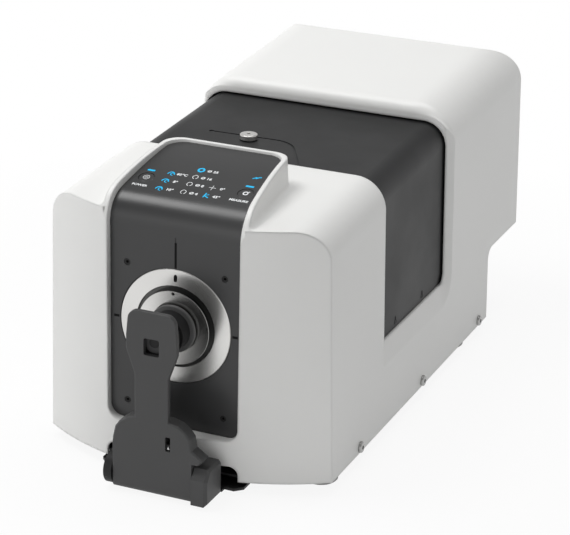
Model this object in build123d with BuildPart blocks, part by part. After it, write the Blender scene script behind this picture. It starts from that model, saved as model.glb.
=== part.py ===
from build123d import *
from math import cos, radians, sin, sqrt, tan
import os

os.makedirs("parts", exist_ok=True)

# ---------------------------------------------------------------------------
# Benchtop sphere colorimeter, millimetres, +Z up, standing on its feet at Z = 0.
# The front (sample port and arm) faces -Y.  Distances along the instrument are
# given from the foremost point of the bowed front face; at() turns them into Y.
# ---------------------------------------------------------------------------

# overall form
body_width = 248.0          # across the foot of the casing
body_depth = 498.0          # bow of the front face to the rear wall
body_height = 250.0         # rear hood, highest point
holder_reach = 31.0         # sample arm, ahead of the bow
foot_height = 10.0
draft = 1.52                # lean of each side wall, degrees
bow_radius = 217.0          # plan radius of the front face
wall = 3.0                  # moulded casing


def at(distance):
    """Y of a station measured from the foremost point of the front face."""
    return (holder_reach - body_depth) / 2 + distance


def half_width(z, inset=0.0):
    """Half the width of the drafted casing at height z."""
    return body_width / 2 - (z - foot_height) * tan(radians(draft)) - inset


# saddle: shoulders of the front casing, rising gently to the hood
shoulder_front_z = body_height - 30.8
shoulder_slope = 0.0435
shoulder_radius = 26.0
shoulder_end = 149.5        # rear edge of the front casing
hood_start = 305.0          # front lip of the rear hood
hood_front_z = body_height - 9.0
hood_slope = 0.0575
hood_radius = 36.0
hood_lip_round = 9.5
hood_lip_wall = 7.2         # front wall of the hood, behind the flare
hood_rear_round = 38.0
step_in = body_depth - 79.0  # lower rear wall, under the overhang
overhang_z = 73.0
overhang_round = 8.0
overhang_edge = 3.2         # lower side edges of the overhang

# cover opening let into the saddle
recess_depth = 5.4
ledge_z = 81.5
ledge_foot_z = 64.0
ledge_corner = 12.0
ledge_flare_corner = 24.0
flange_depth = 8.4          # inner lip of the casing round the cover opening
ledge_root_z = 56.0         # foot of the thickened ledge

# openings in the casing
holder_notch_half = 57.0    # cut-out for the foot of the arm
holder_notch_top = 23.0
holder_notch_round = 8.0
port_height = body_height - 120.3    # optical axis

# front panel: upright face bending into the inclined key panel
panel_front = 12.8          # upright face
panel_thickness = 2.4
panel_bottom_z = 44.2
bend_start_z = body_height - 43.0
bend_radius = 24.0
slope_angle = 16.0          # where the bend ends
crown_radius = 487.0        # gentle crown of the key panel
panel_end = 109.0
panel_half_front = 56.0
panel_half_rear = 48.6
panel_corner = 10.0
panel_rear_corner = 15.0
panel_gap = 0.3
panel_lip = 5.3             # casing stands this far proud of the panel
inner_corner = 3.0
rim_width = 3.6
pod_end = 113.0
pod_end_z = body_height - 2.2
pod_root_z = body_height - 50.0    # hidden foot of the pod, inside the casing
pod_wall_lean = 4.0
bend_end = 17.0              # the panel starts to narrow
pod_base_round = 4.0
board_flange = 18.0         # casing behind the upright face of the panel
well_start = 34.0           # well in the pod for the key board
well_step = 62.0
well_end = 100.0
well_half_front = 50.5
well_half_rear = 44.0

# keys
button_x = 42.2
button_at = 47.2
button_radius = 6.3
button_gap = 0.25
button_lip = 1.2            # collar under the panel
button_travel = 1.0
button_stem = 9.0
switch_gap = 0.9
board_depth = 13.0          # key board below the panel face
board_thickness = 1.6
board_centre = 66.0

# panel screws
panel_screw_x = 41.5
panel_screw_low_z = panel_bottom_z + 15.1
panel_screw_high_z = bend_start_z - 30.9
panel_screw_head = 2.7
panel_screw_shank = 1.4
screw_gap = 0.1

# port
ring_radius = 47.3
ring_front = 12.5
ring_lip_radius = 33.2
ring_bore_radius = 34.0
mask_radius = 30.5
mask_front = 9.0
mask_seat = 10.7            # bottom of the dished face
mask_collar = 18.5
mask_flange_gap = 0.15
port_radius = 12.7

# integrating sphere, split across the instrument
sphere_at = 91.0
sphere_inner = 72.0
sphere_wall = 3.0
sphere_flange_radius = 83.0
sphere_flange = 4.0
sphere_face = 16.8          # flat the port ring sits on
boss_radius = 50.0
lamp_at = 66.0
lamp_tube = 15.0
lamp_reach = body_width / 2 - 12.0
view_angle = 8.0            # viewing direction off the port axis
view_bore = 10.0
cradle_at = 96.0
cradle_half = 62.0
cradle_top = port_height - 44.7

# transmission compartment
front_wall_at = 168.0
sheet = 2.5
deck_z = 77.0
deck_start = 151.0
deck_end = body_depth - 12.0
rear_wall_at = 300.0
rear_wall_half = body_width / 2 - 27.0
rear_wall_top = body_height - 45.0
rear_wall_round = 10.0
lens_radius = 14.0
lens_front = 288.0

# sliding cover
cover_inset = 7.2           # outer face of the cover below the skin
cover_wall = 2.5
cover_low_z = 82.7
cover_end = 318.0
cover_gap = 0.8             # behind the front casing
groove_width = 2.2
groove_depth = 0.8
groove_start_x = -64.0
groove_at = 213.0
groove_corner_x = 9.0
groove_radius = 24.0
groove_end_x = 46.0
groove_pit = 2.2
rail_x = body_width / 2 - 19.0
rail_foot = 6.0
rail_lip = 2.0
rail_height = 10.5
rail_start = 171.0
rail_end = body_depth - 46.0
runner_gap = 0.3
runner_length = 16.0
runner_stations = (176.0, 290.0)
runner_low_z = 84.0
knob_x = -27.0
knob_at = 207.0
knob_radius = 7.5
knob_height = 4.3
knob_shaft = 4.0
knob_gap = 0.1
knob_socket = 1.6
cam_length = 15.0
cam_thickness = 2.4

# spectrometer and electronics
optics_start = 318.0
optics_end = body_depth - 30.0
optics_half = 72.0
optics_height = 86.0
optics_round = 6.0
optics_lid = 4.0
board_z = 30.0
board_half = 70.0
board_front = 200.0
board_rear = step_in - 39.0
supply_front = 122.0
supply_rear = 186.0
supply_half = 55.0
supply_height = 32.0

# base
plate_thickness = 2.0
plate_gap = 0.4
flange_height = 10.0
flange_start = 60.0
flange_end = step_in - 14.0
side_screw_z = 15.0
side_screws_at = (98.7, 243.6, step_in - 26.5)
side_screw_head = 4.7
side_screw_rise = 2.5
side_screw_shank = 2.0
foot_x = body_width / 2 - 19.0
feet_at = (62.0, step_in - 56.0)
foot_radius = 14.0
post_x = body_width / 2 - 29.0
posts_at = (163.0, 288.0, step_in - 19.0)
post_radius = 5.0

# connectors, on the lower rear wall
connector_x = -36.0
connector_z = 36.0
connector_width = 60.0
connector_height = 28.0
connector_margin = 5.0
jack_x = -50.0
socket_x = -22.0

# sample arm
arm_axis_at = -18.0
arm_axis_z = 15.5
arm_front = -29.0
arm_depth = 11.0            # of the shroud
arm_plate = 4.0             # of the neck and the tip
arm_low_z = 3.0
arm_foot_round = 5.0
arm_top = port_height + 26.5
arm_tip_half = 19.6
arm_tip_widest = 21.6
arm_widest_z = port_height + 2.3
arm_tip_round = 8.0
arm_neck_half = 14.3
arm_neck_top = port_height - 25.7
arm_edge_round = 1.2
shroud_top = 68.0
barrel_radius = 11.0
barrel_left = -33.5
barrel_right = 34.4
pin_radius = 3.0
pin_gap = 0.08
ear_gap = 0.6
ear_width = 6.9
ear_radius = 13.0
damper_left = 34.8
damper_right = 48.0
damper_top = 33.0
bracket_z = 4.0
bracket_sheet = 2.4
bracket_half = 62.0
pad_radius = 16.0
pad_front = 9.4
pad_back = -10.0
pad_boss = 9.0
pad_stem_radius = 4.0
pad_stem_end = -24.0
window_half = 6.5
window_low_z = port_height - 9.0
window_high_z = port_height + 4.9
catch_x = 14.1
catch_width = 4.2
catch_low_z = 43.4
catch_high_z = 55.4
catch_length = 5.0


def x_plane(distance):
    """Upright plane across the instrument; local x is X and local y is Z."""
    return Plane.XZ.offset(-at(distance))


def shoulder_z(distance):
    return shoulder_front_z + shoulder_slope * distance


def hood_z(distance):
    return hood_front_z + hood_slope * (distance - hood_start)


def bend_point(depth, angle):
    """Point on the panel bend, `depth` behind the visible face, angle from the front."""
    radius = bend_radius - depth
    y = at(panel_front + bend_radius) - radius * cos(radians(angle))
    return (y, bend_start_z + radius * sin(radians(angle)))


def crown_centre():
    start_y, start_z = bend_point(0, 90 - slope_angle)
    centre_y = start_y + crown_radius * sin(radians(slope_angle))
    return centre_y, start_z - crown_radius * cos(radians(slope_angle))


def crown_point(depth, distance):
    """Point on the crowned key panel, `depth` below the visible face."""
    centre_y, centre_z = crown_centre()
    rise = sqrt((crown_radius - depth) ** 2 - (at(distance) - centre_y) ** 2)
    return (at(distance), centre_z + rise)


def key_plane(x, distance, depth=0.0):
    """Plane square to the key panel at a station, `depth` below its face."""
    centre_y, centre_z = crown_centre()
    y, z = crown_point(0, distance)
    normal = Vector(0, y - centre_y, z - centre_z).normalized()
    return Plane(origin=Vector(x, y, z) - normal * depth, x_dir=(1, 0, 0), z_dir=normal)


def skin_plane(inset=0.0):
    """Plane lying in the right side wall, `inset` below its outer face."""
    lean = radians(draft)
    skin = Plane(origin=(half_width(0), 0, 0), x_dir=(0, 1, 0), z_dir=(cos(lean), 0, sin(lean)))
    return skin.offset(-inset)


def draw_panel_curve(depth, end, low_z, back=False):
    """Side view of the panel face at a depth, inside BuildLine."""
    foot = (at(panel_front + depth), low_z)
    start = bend_point(depth, 0)
    middle = bend_point(depth, (90 - slope_angle) / 2)
    finish = bend_point(depth, 90 - slope_angle)
    half = crown_point(depth, (end + finish[0] - at(0)) / 2)
    tail = crown_point(depth, end)
    Line(foot, start)
    ThreePointArc(start, middle, finish)
    ThreePointArc(finish, half, tail)
    return foot, tail


def panel_ribbon(outer, inner, end, low_z):
    """Closed side outline between two depths behind the panel face."""
    with BuildSketch(Plane.YZ) as ribbon:
        with BuildLine():
            outer_foot, outer_tail = draw_panel_curve(outer, end, low_z)
            inner_foot, inner_tail = draw_panel_curve(inner, end, low_z)
            Line(outer_foot, inner_foot)
            Line(outer_tail, inner_tail)
        make_face()
    return ribbon.sketch


def section(distance, top, radius, inset=0.0, low_z=foot_height):
    """Drafted cross-section of the casing with rounded top corners."""
    with BuildSketch(x_plane(distance)) as outline:
        with BuildLine():
            Polyline(
                (-half_width(low_z, inset), low_z),
                (half_width(low_z, inset), low_z),
                (half_width(top, inset), top),
                (-half_width(top, inset), top),
                close=True,
            )
        make_face()
        fillet(outline.vertices().group_by(Axis.Y)[-1], radius)
    return outline.sketch


def plan_outline(inset=0.0, rear=body_depth):
    """Plan of the casing: bowed front, straight sides, square rear."""
    reach = body_width / 2 + 2
    radius = bow_radius - inset
    side = bow_radius - sqrt(radius**2 - reach**2)
    with BuildSketch() as plan:
        with BuildLine():
            ThreePointArc((-reach, at(side)), (0, at(inset)), (reach, at(side)))
            Polyline((reach, at(side)), (reach, at(rear)), (-reach, at(rear)), (-reach, at(side)))
        make_face()
    return plan.sketch


def hood_side(inset=0.0):
    """Side view that rounds the top rear edge of the hood and cuts the overhang."""
    rear = at(body_depth) - inset
    low_rear = at(step_in) - inset
    top = body_height + 20
    with BuildSketch(Plane.YZ) as side:
        with BuildLine():
            Polyline(
                (at(-20), foot_height - 5),
                (low_rear, foot_height - 5),
                (low_rear, overhang_z + inset),
                (rear, overhang_z + inset),
                (rear, hood_z(body_depth) - inset),
                (at(0), hood_z(0) - inset),
                (at(-20), hood_z(0) - inset),
                close=True,
            )
        make_face()
        corner = side.vertices().sort_by_distance((rear, hood_z(body_depth) - inset))[0]
        fillet(corner, hood_rear_round - inset)
        inner = side.vertices().sort_by_distance((low_rear, overhang_z + inset))[0]
        fillet(inner, overhang_round)
    return side.sketch


def casing_block(inset, low_z, hood_setback=0.0):
    """Solid form of the casing, or of its cavity when inset by the wall."""
    with BuildPart() as block:
        ends = (-8, hood_start + 30)
        loft(
            sections=[
                section(d, shoulder_z(d) - inset, shoulder_radius - inset, inset, low_z)
                for d in ends
            ],
            ruled=True,
        )
        with BuildPart(mode=Mode.PRIVATE) as hood:
            ends = (hood_start + hood_setback, body_depth + 5)
            loft(
                sections=[
                    section(d, hood_z(d) - inset, hood_radius - inset, inset, low_z)
                    for d in ends
                ],
                ruled=True,
            )
            lip = hood.faces().sort_by(Axis.Y)[0].edges().filter_by(lambda e: e.center().Z > 90)
            fillet(lip, hood_lip_round)
        add(hood.part)
        extrude(plan_outline(inset, body_depth - inset), amount=body_height + 50, mode=Mode.INTERSECT)
        extrude(hood_side(inset), amount=body_width, both=True, mode=Mode.INTERSECT)
    return block.part


def panel_form(grow, outer, inner, end=panel_end):
    """Bent plate following the panel face between two depths, `grow` wider all round."""
    low_z = panel_bottom_z - grow
    front_half = panel_half_front + grow
    rear_half = panel_half_rear + grow
    with BuildPart() as form:
        extrude(panel_ribbon(outer, inner, end + grow, low_z), amount=body_width / 2, both=True)
        with BuildSketch(Plane.XZ.offset(-at(end + 20))) as front_view:
            with BuildLine():
                Polyline(
                    (-front_half, low_z),
                    (front_half, low_z),
                    (front_half, body_height + 20),
                    (-front_half, body_height + 20),
                    close=True,
                )
            make_face()
            fillet(front_view.vertices().group_by(Axis.Y)[0], max(panel_corner + grow, inner_corner))
        extrude(amount=body_depth, mode=Mode.INTERSECT)
        with BuildSketch() as top_view:
            with BuildLine():
                Polyline(
                    (-front_half, at(-30)),
                    (front_half, at(-30)),
                    (front_half, at(bend_end)),
                    (rear_half, at(end + grow)),
                    (-rear_half, at(end + grow)),
                    (-front_half, at(bend_end)),
                    close=True,
                )
            make_face()
            fillet(top_view.vertices().group_by(Axis.Y)[-1], max(panel_rear_corner + grow, inner_corner))
        extrude(amount=body_height + 40, mode=Mode.INTERSECT)
    return form.part


def pod_form():
    """Raised housing of the key panel: crowned top, tapering plan, leaning walls."""
    rise = bend_point(-panel_lip, 90 - slope_angle)
    spread = (pod_end_z - pod_root_z) * tan(radians(pod_wall_lean))
    front_half = panel_half_front + rim_width + spread
    rear_half = panel_half_rear + rim_width + spread
    rear = at(pod_end) + spread
    with BuildPart() as pod:
        with BuildSketch(Plane.YZ):
            with BuildLine():
                draw_pod_top(rise)
                Polyline(
                    (at(pod_end + 8), pod_end_z),
                    (at(pod_end + 8), pod_root_z),
                    (at(panel_front - panel_lip), pod_root_z),
                )
            make_face()
        extrude(amount=body_width / 2, both=True)
        with BuildSketch(Plane.XY.offset(pod_root_z)) as plan:
            with BuildLine():
                Polyline(
                    (-front_half, at(-10)),
                    (front_half, at(-10)),
                    (front_half, at(bend_end)),
                    (rear_half, rear),
                    (-rear_half, rear),
                    (-front_half, at(bend_end)),
                    close=True,
                )
            make_face()
            fillet(plan.vertices().group_by(Axis.Y)[-1], panel_rear_corner + rim_width)
        extrude(amount=pod_end_z - pod_root_z + 5, taper=pod_wall_lean, mode=Mode.INTERSECT)
    return pod.part


def draw_pod_top(rise):
    foot = (at(panel_front - panel_lip), pod_root_z)
    start = bend_point(-panel_lip, 0)
    middle = bend_point(-panel_lip, (90 - slope_angle) / 2)
    Line(foot, start)
    ThreePointArc(start, middle, rise)
    tangent = (cos(radians(slope_angle)), sin(radians(slope_angle)))
    TangentArc(rise, (at(pod_end), pod_end_z), tangent=tangent)
    Line((at(pod_end), pod_end_z), (at(pod_end + 8), pod_end_z))


def opening_outline(plane, low_z, corner, grow=0.0):
    """Side outline of the cover opening with its rounded lower rear corner."""
    with BuildSketch(plane) as outline:
        with BuildLine():
            Polyline(
                (at(shoulder_end), low_z),
                (at(hood_start) + grow, low_z),
                (at(hood_start) + grow, body_height + 20),
                (at(shoulder_end), body_height + 20),
                close=True,
            )
        make_face()
        corner_point = outline.vertices().sort_by_distance((at(hood_start) + grow, low_z))[0]
        fillet(corner_point, corner)
    return outline.sketch


def cover_form(depth, low_z=cover_low_z, beyond=0.0):
    """Saddle-shaped form of the cover, `depth` inside its outer face, `beyond` its ends."""
    inset = cover_inset + depth
    with BuildPart() as form:
        loft(
            sections=[
                section(d, shoulder_z(d) - inset, shoulder_radius - inset, inset, low_z)
                for d in (shoulder_end + cover_gap - beyond, cover_end + beyond)
            ],
            ruled=True,
        )
    return form.part


def turned(axis_z, profile):
    """Ring turned about an axis along the instrument from (radius, station) pairs."""
    with BuildPart() as ring:
        with BuildSketch(Plane.XY.offset(axis_z)):
            with BuildLine():
                Polyline(*[(radius, at(distance)) for radius, distance in profile], close=True)
            make_face()
        revolve(axis=Axis((0, 0, axis_z), (0, 1, 0)))
    return ring.part


def screw_bores(radius):
    """Bores for the side screws, square to both side walls."""
    with BuildPart() as bores:
        with BuildSketch(skin_plane(3 * wall)):
            with Locations(*[(at(d), side_screw_z) for d in side_screws_at]):
                Circle(radius)
        extrude(amount=4 * wall)
        mirror(about=Plane.YZ)
    return bores.part


screw_points = [
    (side * panel_screw_x, z) for side in (-1, 1) for z in (panel_screw_low_z, panel_screw_high_z)
]

# --- outer shell: one white moulding, front casing, side ledges and rear hood ---
with BuildPart() as cavity:
    add(casing_block(wall, foot_height - 1, hood_lip_wall))
    with BuildPart(mode=Mode.PRIVATE) as thick_ring:
        with BuildSketch(x_plane(hood_start + hood_lip_wall)):
            with Locations((0, ledge_root_z + body_height / 2)):
                Rectangle(body_width + 20, body_height)
            add(section(hood_start + hood_lip_wall, shoulder_z(shoulder_end) - flange_depth,
                        shoulder_radius - flange_depth, flange_depth), mode=Mode.SUBTRACT)
        extrude(amount=hood_start - shoulder_end + hood_lip_wall + wall)
    add(thick_ring.part, mode=Mode.SUBTRACT)
    add(panel_form(wall, -panel_lip - 5, panel_thickness + wall), mode=Mode.SUBTRACT)

with BuildPart() as outer_shell:
    add(casing_block(0, foot_height))
    overhang_edges = outer_shell.edges().filter_by(Axis.Y).filter_by(
        lambda e: e.center().Y > at(step_in) and abs(e.center().Z - overhang_z) < 1
    )
    chamfer(overhang_edges, overhang_edge)
    add(pod_form())
    pod_foot = outer_shell.edges().filter_by(
        lambda e: shoulder_z(0) - 1 < e.center().Z < shoulder_z(shoulder_end)
        and at(bend_end) < e.center().Y < at(pod_end + 12)
        and abs(e.center().X) < 62
        and e.geom_type == GeomType.BSPLINE
    )
    fillet(pod_foot, pod_base_round)
    extrude(plan_outline(), amount=body_height + 50, mode=Mode.INTERSECT)
    # above the bend the casing follows the pod, not the bow
    with BuildSketch(Plane.YZ):
        with BuildLine():
            start = bend_point(-panel_lip, 0)
            middle = bend_point(-panel_lip, (90 - slope_angle) / 2)
            rise = bend_point(-panel_lip, 90 - slope_angle)
            ThreePointArc(start, middle, rise)
            Polyline(rise, (rise[0], body_height), (at(-10), body_height), (at(-10), start[1]), start)
        make_face()
    extrude(amount=panel_half_front + rim_width, both=True, mode=Mode.SUBTRACT)
    add(cavity.part, mode=Mode.SUBTRACT)
    # recess that holds the front panel, the window behind it and the key board's well
    add(panel_form(panel_gap, -panel_lip - 10, panel_thickness), mode=Mode.SUBTRACT)
    add(panel_form(-board_flange, -panel_lip, panel_thickness + 2 * wall), mode=Mode.SUBTRACT)
    with BuildSketch(x_plane(panel_front + 3 * wall)):
        with Locations((0, port_height)):
            Circle(boss_radius + 2)
    extrude(amount=body_depth, mode=Mode.SUBTRACT)
    with BuildSketch(x_plane(panel_front + 3 * wall)):
        with Locations(*screw_points):
            Circle(panel_screw_shank + screw_gap)
    extrude(amount=3 * wall, mode=Mode.SUBTRACT)
    for half, first, last in (
        (well_half_front, well_start, well_step),
        (well_half_rear, well_start, well_end),
    ):
        with BuildSketch(Plane.YZ):
            with BuildLine():
                Polyline(
                    crown_point(0, first),
                    crown_point(0, last),
                    (at(last), shoulder_front_z - 3 * wall),
                    (at(first), shoulder_front_z - 3 * wall),
                    close=True,
                )
            make_face()
        extrude(amount=half, both=True, mode=Mode.SUBTRACT)
    # opening for the sliding cover, with its flared edge
    with BuildSketch(x_plane(hood_start + hood_lip_wall + 1)):
        add(section(hood_start, shoulder_z(hood_start) - recess_depth,
                    shoulder_radius - recess_depth, recess_depth, ledge_z))
    extrude(amount=hood_start - shoulder_end + hood_lip_wall + 1, mode=Mode.SUBTRACT)
    extrude(opening_outline(Plane.YZ, ledge_z, ledge_corner), amount=body_width, both=True,
            mode=Mode.SUBTRACT)
    with BuildPart(mode=Mode.PRIVATE) as flare:
        loft(
            sections=[
                opening_outline(skin_plane(recess_depth), ledge_z, ledge_corner),
                opening_outline(skin_plane(-0.4), ledge_foot_z, ledge_flare_corner, hood_lip_round),
            ],
            ruled=True,
        )
        mirror(about=Plane.YZ)
    add(flare.part, mode=Mode.SUBTRACT)
    # cut-out for the foot of the arm
    with BuildSketch(x_plane(4 * holder_notch_top)) as notch:
        with Locations((0, holder_notch_top / 2)):
            Rectangle(2 * holder_notch_half, holder_notch_top)
        fillet(notch.vertices().group_by(Axis.Y)[-1], holder_notch_round)
    extrude(amount=body_depth, mode=Mode.SUBTRACT)
    # connector window in the lower rear wall
    with BuildSketch(x_plane(step_in + wall)):
        with Locations((connector_x, connector_z)):
            RectangleRounded(connector_width, connector_height, 3)
    extrude(amount=3 * wall, mode=Mode.SUBTRACT)
    add(screw_bores(side_screw_shank + screw_gap), mode=Mode.SUBTRACT)
outer_shell.part.label = "outer_shell"
export_step(outer_shell.part, "parts/outer_shell.step")

# --- base plate: steel tray with turned-up sides ---
flange_face = half_width(foot_height + plate_thickness + flange_height, wall + plate_gap)
with BuildPart() as base_plate:
    with BuildSketch(Plane.XY.offset(foot_height)):
        add(plan_outline(wall + plate_gap, step_in - wall - plate_gap))
        Rectangle(2 * flange_face, 2 * body_depth, mode=Mode.INTERSECT)
        with Locations((0, at(0))):
            Rectangle(2 * bracket_half, 30, mode=Mode.SUBTRACT)
    extrude(amount=plate_thickness)
    with BuildSketch(Plane.XY.offset(foot_height + plate_thickness)):
        for side in (-1, 1):
            with Locations((side * (flange_face - plate_thickness / 2), at((flange_start + flange_end) / 2))):
                Rectangle(plate_thickness, flange_end - flange_start)
    extrude(amount=flange_height)
    add(screw_bores(side_screw_shank + screw_gap), mode=Mode.SUBTRACT)
base_plate.part.label = "base_plate"
export_step(base_plate.part, "parts/base_plate.step")

# --- feet ---
with BuildPart() as feet:
    with BuildSketch():
        with Locations(*[(side * foot_x, at(d)) for side in (-1, 1) for d in feet_at]):
            Circle(foot_radius)
    extrude(amount=foot_height)
    chamfer(feet.edges().group_by(Axis.Z)[0], 1.2)
    with BuildSketch():
        with Locations(*[(side * foot_x, at(d)) for side in (-1, 1) for d in feet_at]):
            Circle(foot_radius / 3)
    extrude(amount=foot_height / 2, mode=Mode.SUBTRACT)
feet.part.label = "feet"
export_step(feet.part, "parts/feet.step")

# --- side screws: six button heads ---
with BuildPart() as side_screws:
    with BuildSketch(skin_plane(0)):
        with Locations(*[(at(d), side_screw_z) for d in side_screws_at]):
            Circle(side_screw_head)
    extrude(amount=side_screw_rise)
    fillet(side_screws.edges().group_by(Axis.X)[-1], side_screw_rise * 0.6)
    with BuildSketch(skin_plane(-side_screw_rise)):
        with Locations(*[(at(d), side_screw_z) for d in side_screws_at]):
            RegularPolygon(side_screw_head * 0.4, 6)
    extrude(amount=-side_screw_rise * 0.6, mode=Mode.SUBTRACT)
    with BuildSketch(skin_plane(0)):
        with Locations(*[(at(d), side_screw_z) for d in side_screws_at]):
            Circle(side_screw_shank)
    extrude(amount=-3 * wall)
    mirror(about=Plane.YZ)
side_screws.part.label = "side_screws"
export_step(side_screws.part, "parts/side_screws.step")

# --- front panel: upright face bending into the key panel ---
with BuildPart() as front_panel:
    add(panel_form(0, 0, panel_thickness))
    with BuildSketch(x_plane(panel_front + 2 * panel_thickness)):
        with Locations((0, port_height)):
            Circle(ring_radius + panel_gap)
    extrude(amount=4 * panel_thickness, mode=Mode.SUBTRACT)
    with BuildSketch(x_plane(panel_front + 2 * panel_thickness)):
        with Locations(*screw_points):
            Circle(panel_screw_shank + screw_gap)
    extrude(amount=4 * panel_thickness, mode=Mode.SUBTRACT)
    with BuildSketch(x_plane(panel_front + panel_thickness * 0.65)):
        with Locations(*screw_points):
            Circle(panel_screw_head + screw_gap)
    extrude(amount=4 * panel_thickness, mode=Mode.SUBTRACT)
    # alignment line above the port
    with BuildSketch(x_plane(panel_front + panel_thickness * 0.2)):
        with Locations((0, (bend_start_z + port_height + ring_radius) / 2)):
            Rectangle(1.2, (bend_start_z - port_height - ring_radius) * 0.7)
    extrude(amount=4 * panel_thickness, mode=Mode.SUBTRACT)
    # key openings, and bosses that carry the key board
    for side in (-1, 1):
        with BuildSketch(key_plane(side * button_x, button_at, panel_thickness * 2)):
            Circle(button_radius + button_gap)
        extrude(amount=panel_thickness * 4, mode=Mode.SUBTRACT)
    with BuildSketch(key_plane(0, board_centre, board_depth)):
        with Locations((-28, -24), (28, -24), (-28, 27), (28, 27)):
            Circle(2.5)
    extrude(amount=board_depth - panel_thickness * 0.6)
front_panel.part.label = "front_panel"
export_step(front_panel.part, "parts/front_panel.step")

# --- panel screws ---
with BuildPart() as panel_screws:
    with BuildSketch(x_plane(panel_front + panel_thickness * 0.65)):
        with Locations(*screw_points):
            Circle(panel_screw_head)
    extrude(amount=panel_thickness * 0.5)
    with BuildSketch(x_plane(panel_front + panel_thickness * 0.15 + 0.9)):
        with Locations(*screw_points):
            RegularPolygon(panel_screw_head * 0.5, 6)
    extrude(amount=2, mode=Mode.SUBTRACT)
    with BuildSketch(x_plane(panel_front + 3 * panel_thickness)):
        with Locations(*screw_points):
            Circle(panel_screw_shank)
    extrude(amount=panel_thickness * 2.35)
panel_screws.part.label = "panel_screws"
export_step(panel_screws.part, "parts/panel_screws.step")

# --- keys: caps with a stem and a collar under the panel ---
for name, side in (("power_button", -1), ("measure_button", 1)):
    with BuildPart() as key:
        with BuildSketch(key_plane(side * button_x, button_at, panel_thickness + button_gap)):
            Circle(button_radius)
        extrude(amount=panel_thickness)
        fillet(key.edges().group_by(Axis.Z)[-1], 0.5)
        with BuildSketch(key_plane(side * button_x, button_at, panel_thickness + button_gap)):
            Circle(button_radius + button_lip)
        extrude(amount=-button_lip)
        with BuildSketch(key_plane(side * button_x, button_at, panel_thickness)):
            Circle(button_radius * 0.4)
        extrude(amount=-(button_stem - panel_thickness))
    key.part.label = name
    export_step(key.part, f"parts/{name}.step")

# --- key board, with one switch under each key ---
switch_base = board_depth - button_stem - button_travel - switch_gap
with BuildPart() as key_board:
    with BuildSketch(key_plane(0, board_centre, board_depth)):
        Rectangle(2 * well_half_rear - 4, well_end - well_start - 6)
        with Locations((0, button_at - board_centre)):
            Rectangle(2 * well_half_front - 2, 14)
    extrude(amount=-board_thickness)
    with BuildSketch(key_plane(0, board_centre, board_depth)):
        with Locations((-button_x, button_at - board_centre), (button_x, button_at - board_centre)):
            Rectangle(6, 6)
    extrude(amount=switch_base)
key_board.part.label = "key_board"
export_step(key_board.part, "parts/key_board.step")

# --- port ring and target mask ---
mask_back = sphere_face - 0.3
lip_depth = 1.4
with BuildPart() as port_ring:
    add(turned(port_height, (
        (ring_radius, sphere_face),
        (ring_radius, ring_front + 0.7),
        (ring_radius - 0.7, ring_front),
        (ring_lip_radius + 0.5, ring_front),
        (ring_lip_radius, ring_front + 0.5),
        (ring_lip_radius, ring_front + lip_depth),
        (ring_bore_radius, ring_front + lip_depth),
        (ring_bore_radius, sphere_face),
    )))
    with BuildSketch(x_plane(ring_front + 0.8)):
        with Locations((0, port_height + 0.86 * ring_radius)):
            SlotOverall(4.6, 1.9, rotation=90)
    extrude(amount=4, mode=Mode.SUBTRACT)
port_ring.part.label = "port_ring"
export_step(port_ring.part, "parts/port_ring.step")

mask_flange = ring_bore_radius - mask_flange_gap
with BuildPart() as target_mask:
    add(turned(port_height, (
        (port_radius, mask_back),
        (mask_flange, mask_back),
        (mask_flange, ring_front + lip_depth + 0.3),
        (mask_radius, ring_front + lip_depth + 0.3),
        (mask_radius, mask_front + 0.4),
        (mask_radius - 0.4, mask_front),
        (mask_collar, mask_seat - 0.4),
        (mask_collar, mask_seat + 0.6),
        (port_radius, mask_seat + 0.6),
    )))
target_mask.part.label = "target_mask"
export_step(target_mask.part, "parts/target_mask.step")

# --- integrating sphere, two flanged halves ---
sphere_outer = sphere_inner + sphere_wall
sphere_centre = Vector(0, at(sphere_at), port_height)
view_x = tan(radians(view_angle)) * (front_wall_at - sphere_face)


def sphere_half(first, last):
    """Outer form of one half: the shell of the sphere and its flange."""
    rim = sphere_at - sphere_flange if first < sphere_at else sphere_at
    with BuildPart() as half:
        with Locations(sphere_centre):
            Sphere(sphere_outer)
        with BuildSketch(x_plane(last)):
            with Locations((0, port_height)):
                Rectangle(body_width, body_height)
        extrude(amount=last - first, mode=Mode.INTERSECT)
        with BuildSketch(x_plane(rim + sphere_flange)):
            with Locations((0, port_height)):
                Circle(sphere_flange_radius)
        extrude(amount=sphere_flange)
    return half.part


with BuildPart() as sphere_front:
    add(sphere_half(sphere_face, sphere_at))
    with BuildSketch(x_plane(sphere_at - sphere_outer / 2)):
        with Locations((0, port_height)):
            Circle(boss_radius)
    extrude(amount=sphere_at - sphere_outer / 2 - sphere_face)
    with Locations(sphere_centre):
        Sphere(sphere_inner, mode=Mode.SUBTRACT)
    with BuildSketch(x_plane(sphere_at)):
        with Locations((0, port_height)):
            Circle(port_radius)
    extrude(amount=sphere_at, mode=Mode.SUBTRACT)
    with BuildSketch(Plane.YZ):
        with Locations((at(lamp_at), port_height)):
            Circle(lamp_tube * 0.65)
    extrude(amount=-body_width, mode=Mode.SUBTRACT)
    with BuildSketch(x_plane(sphere_at)):
        with Locations((0, port_height)):
            with PolarLocations((sphere_outer + sphere_flange_radius) / 2 + 0.5, 8, 22.5):
                Circle(1.8)
    extrude(amount=sphere_flange, mode=Mode.SUBTRACT)
sphere_front.part.label = "sphere_front"
export_step(sphere_front.part, "parts/sphere_front.step")

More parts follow.
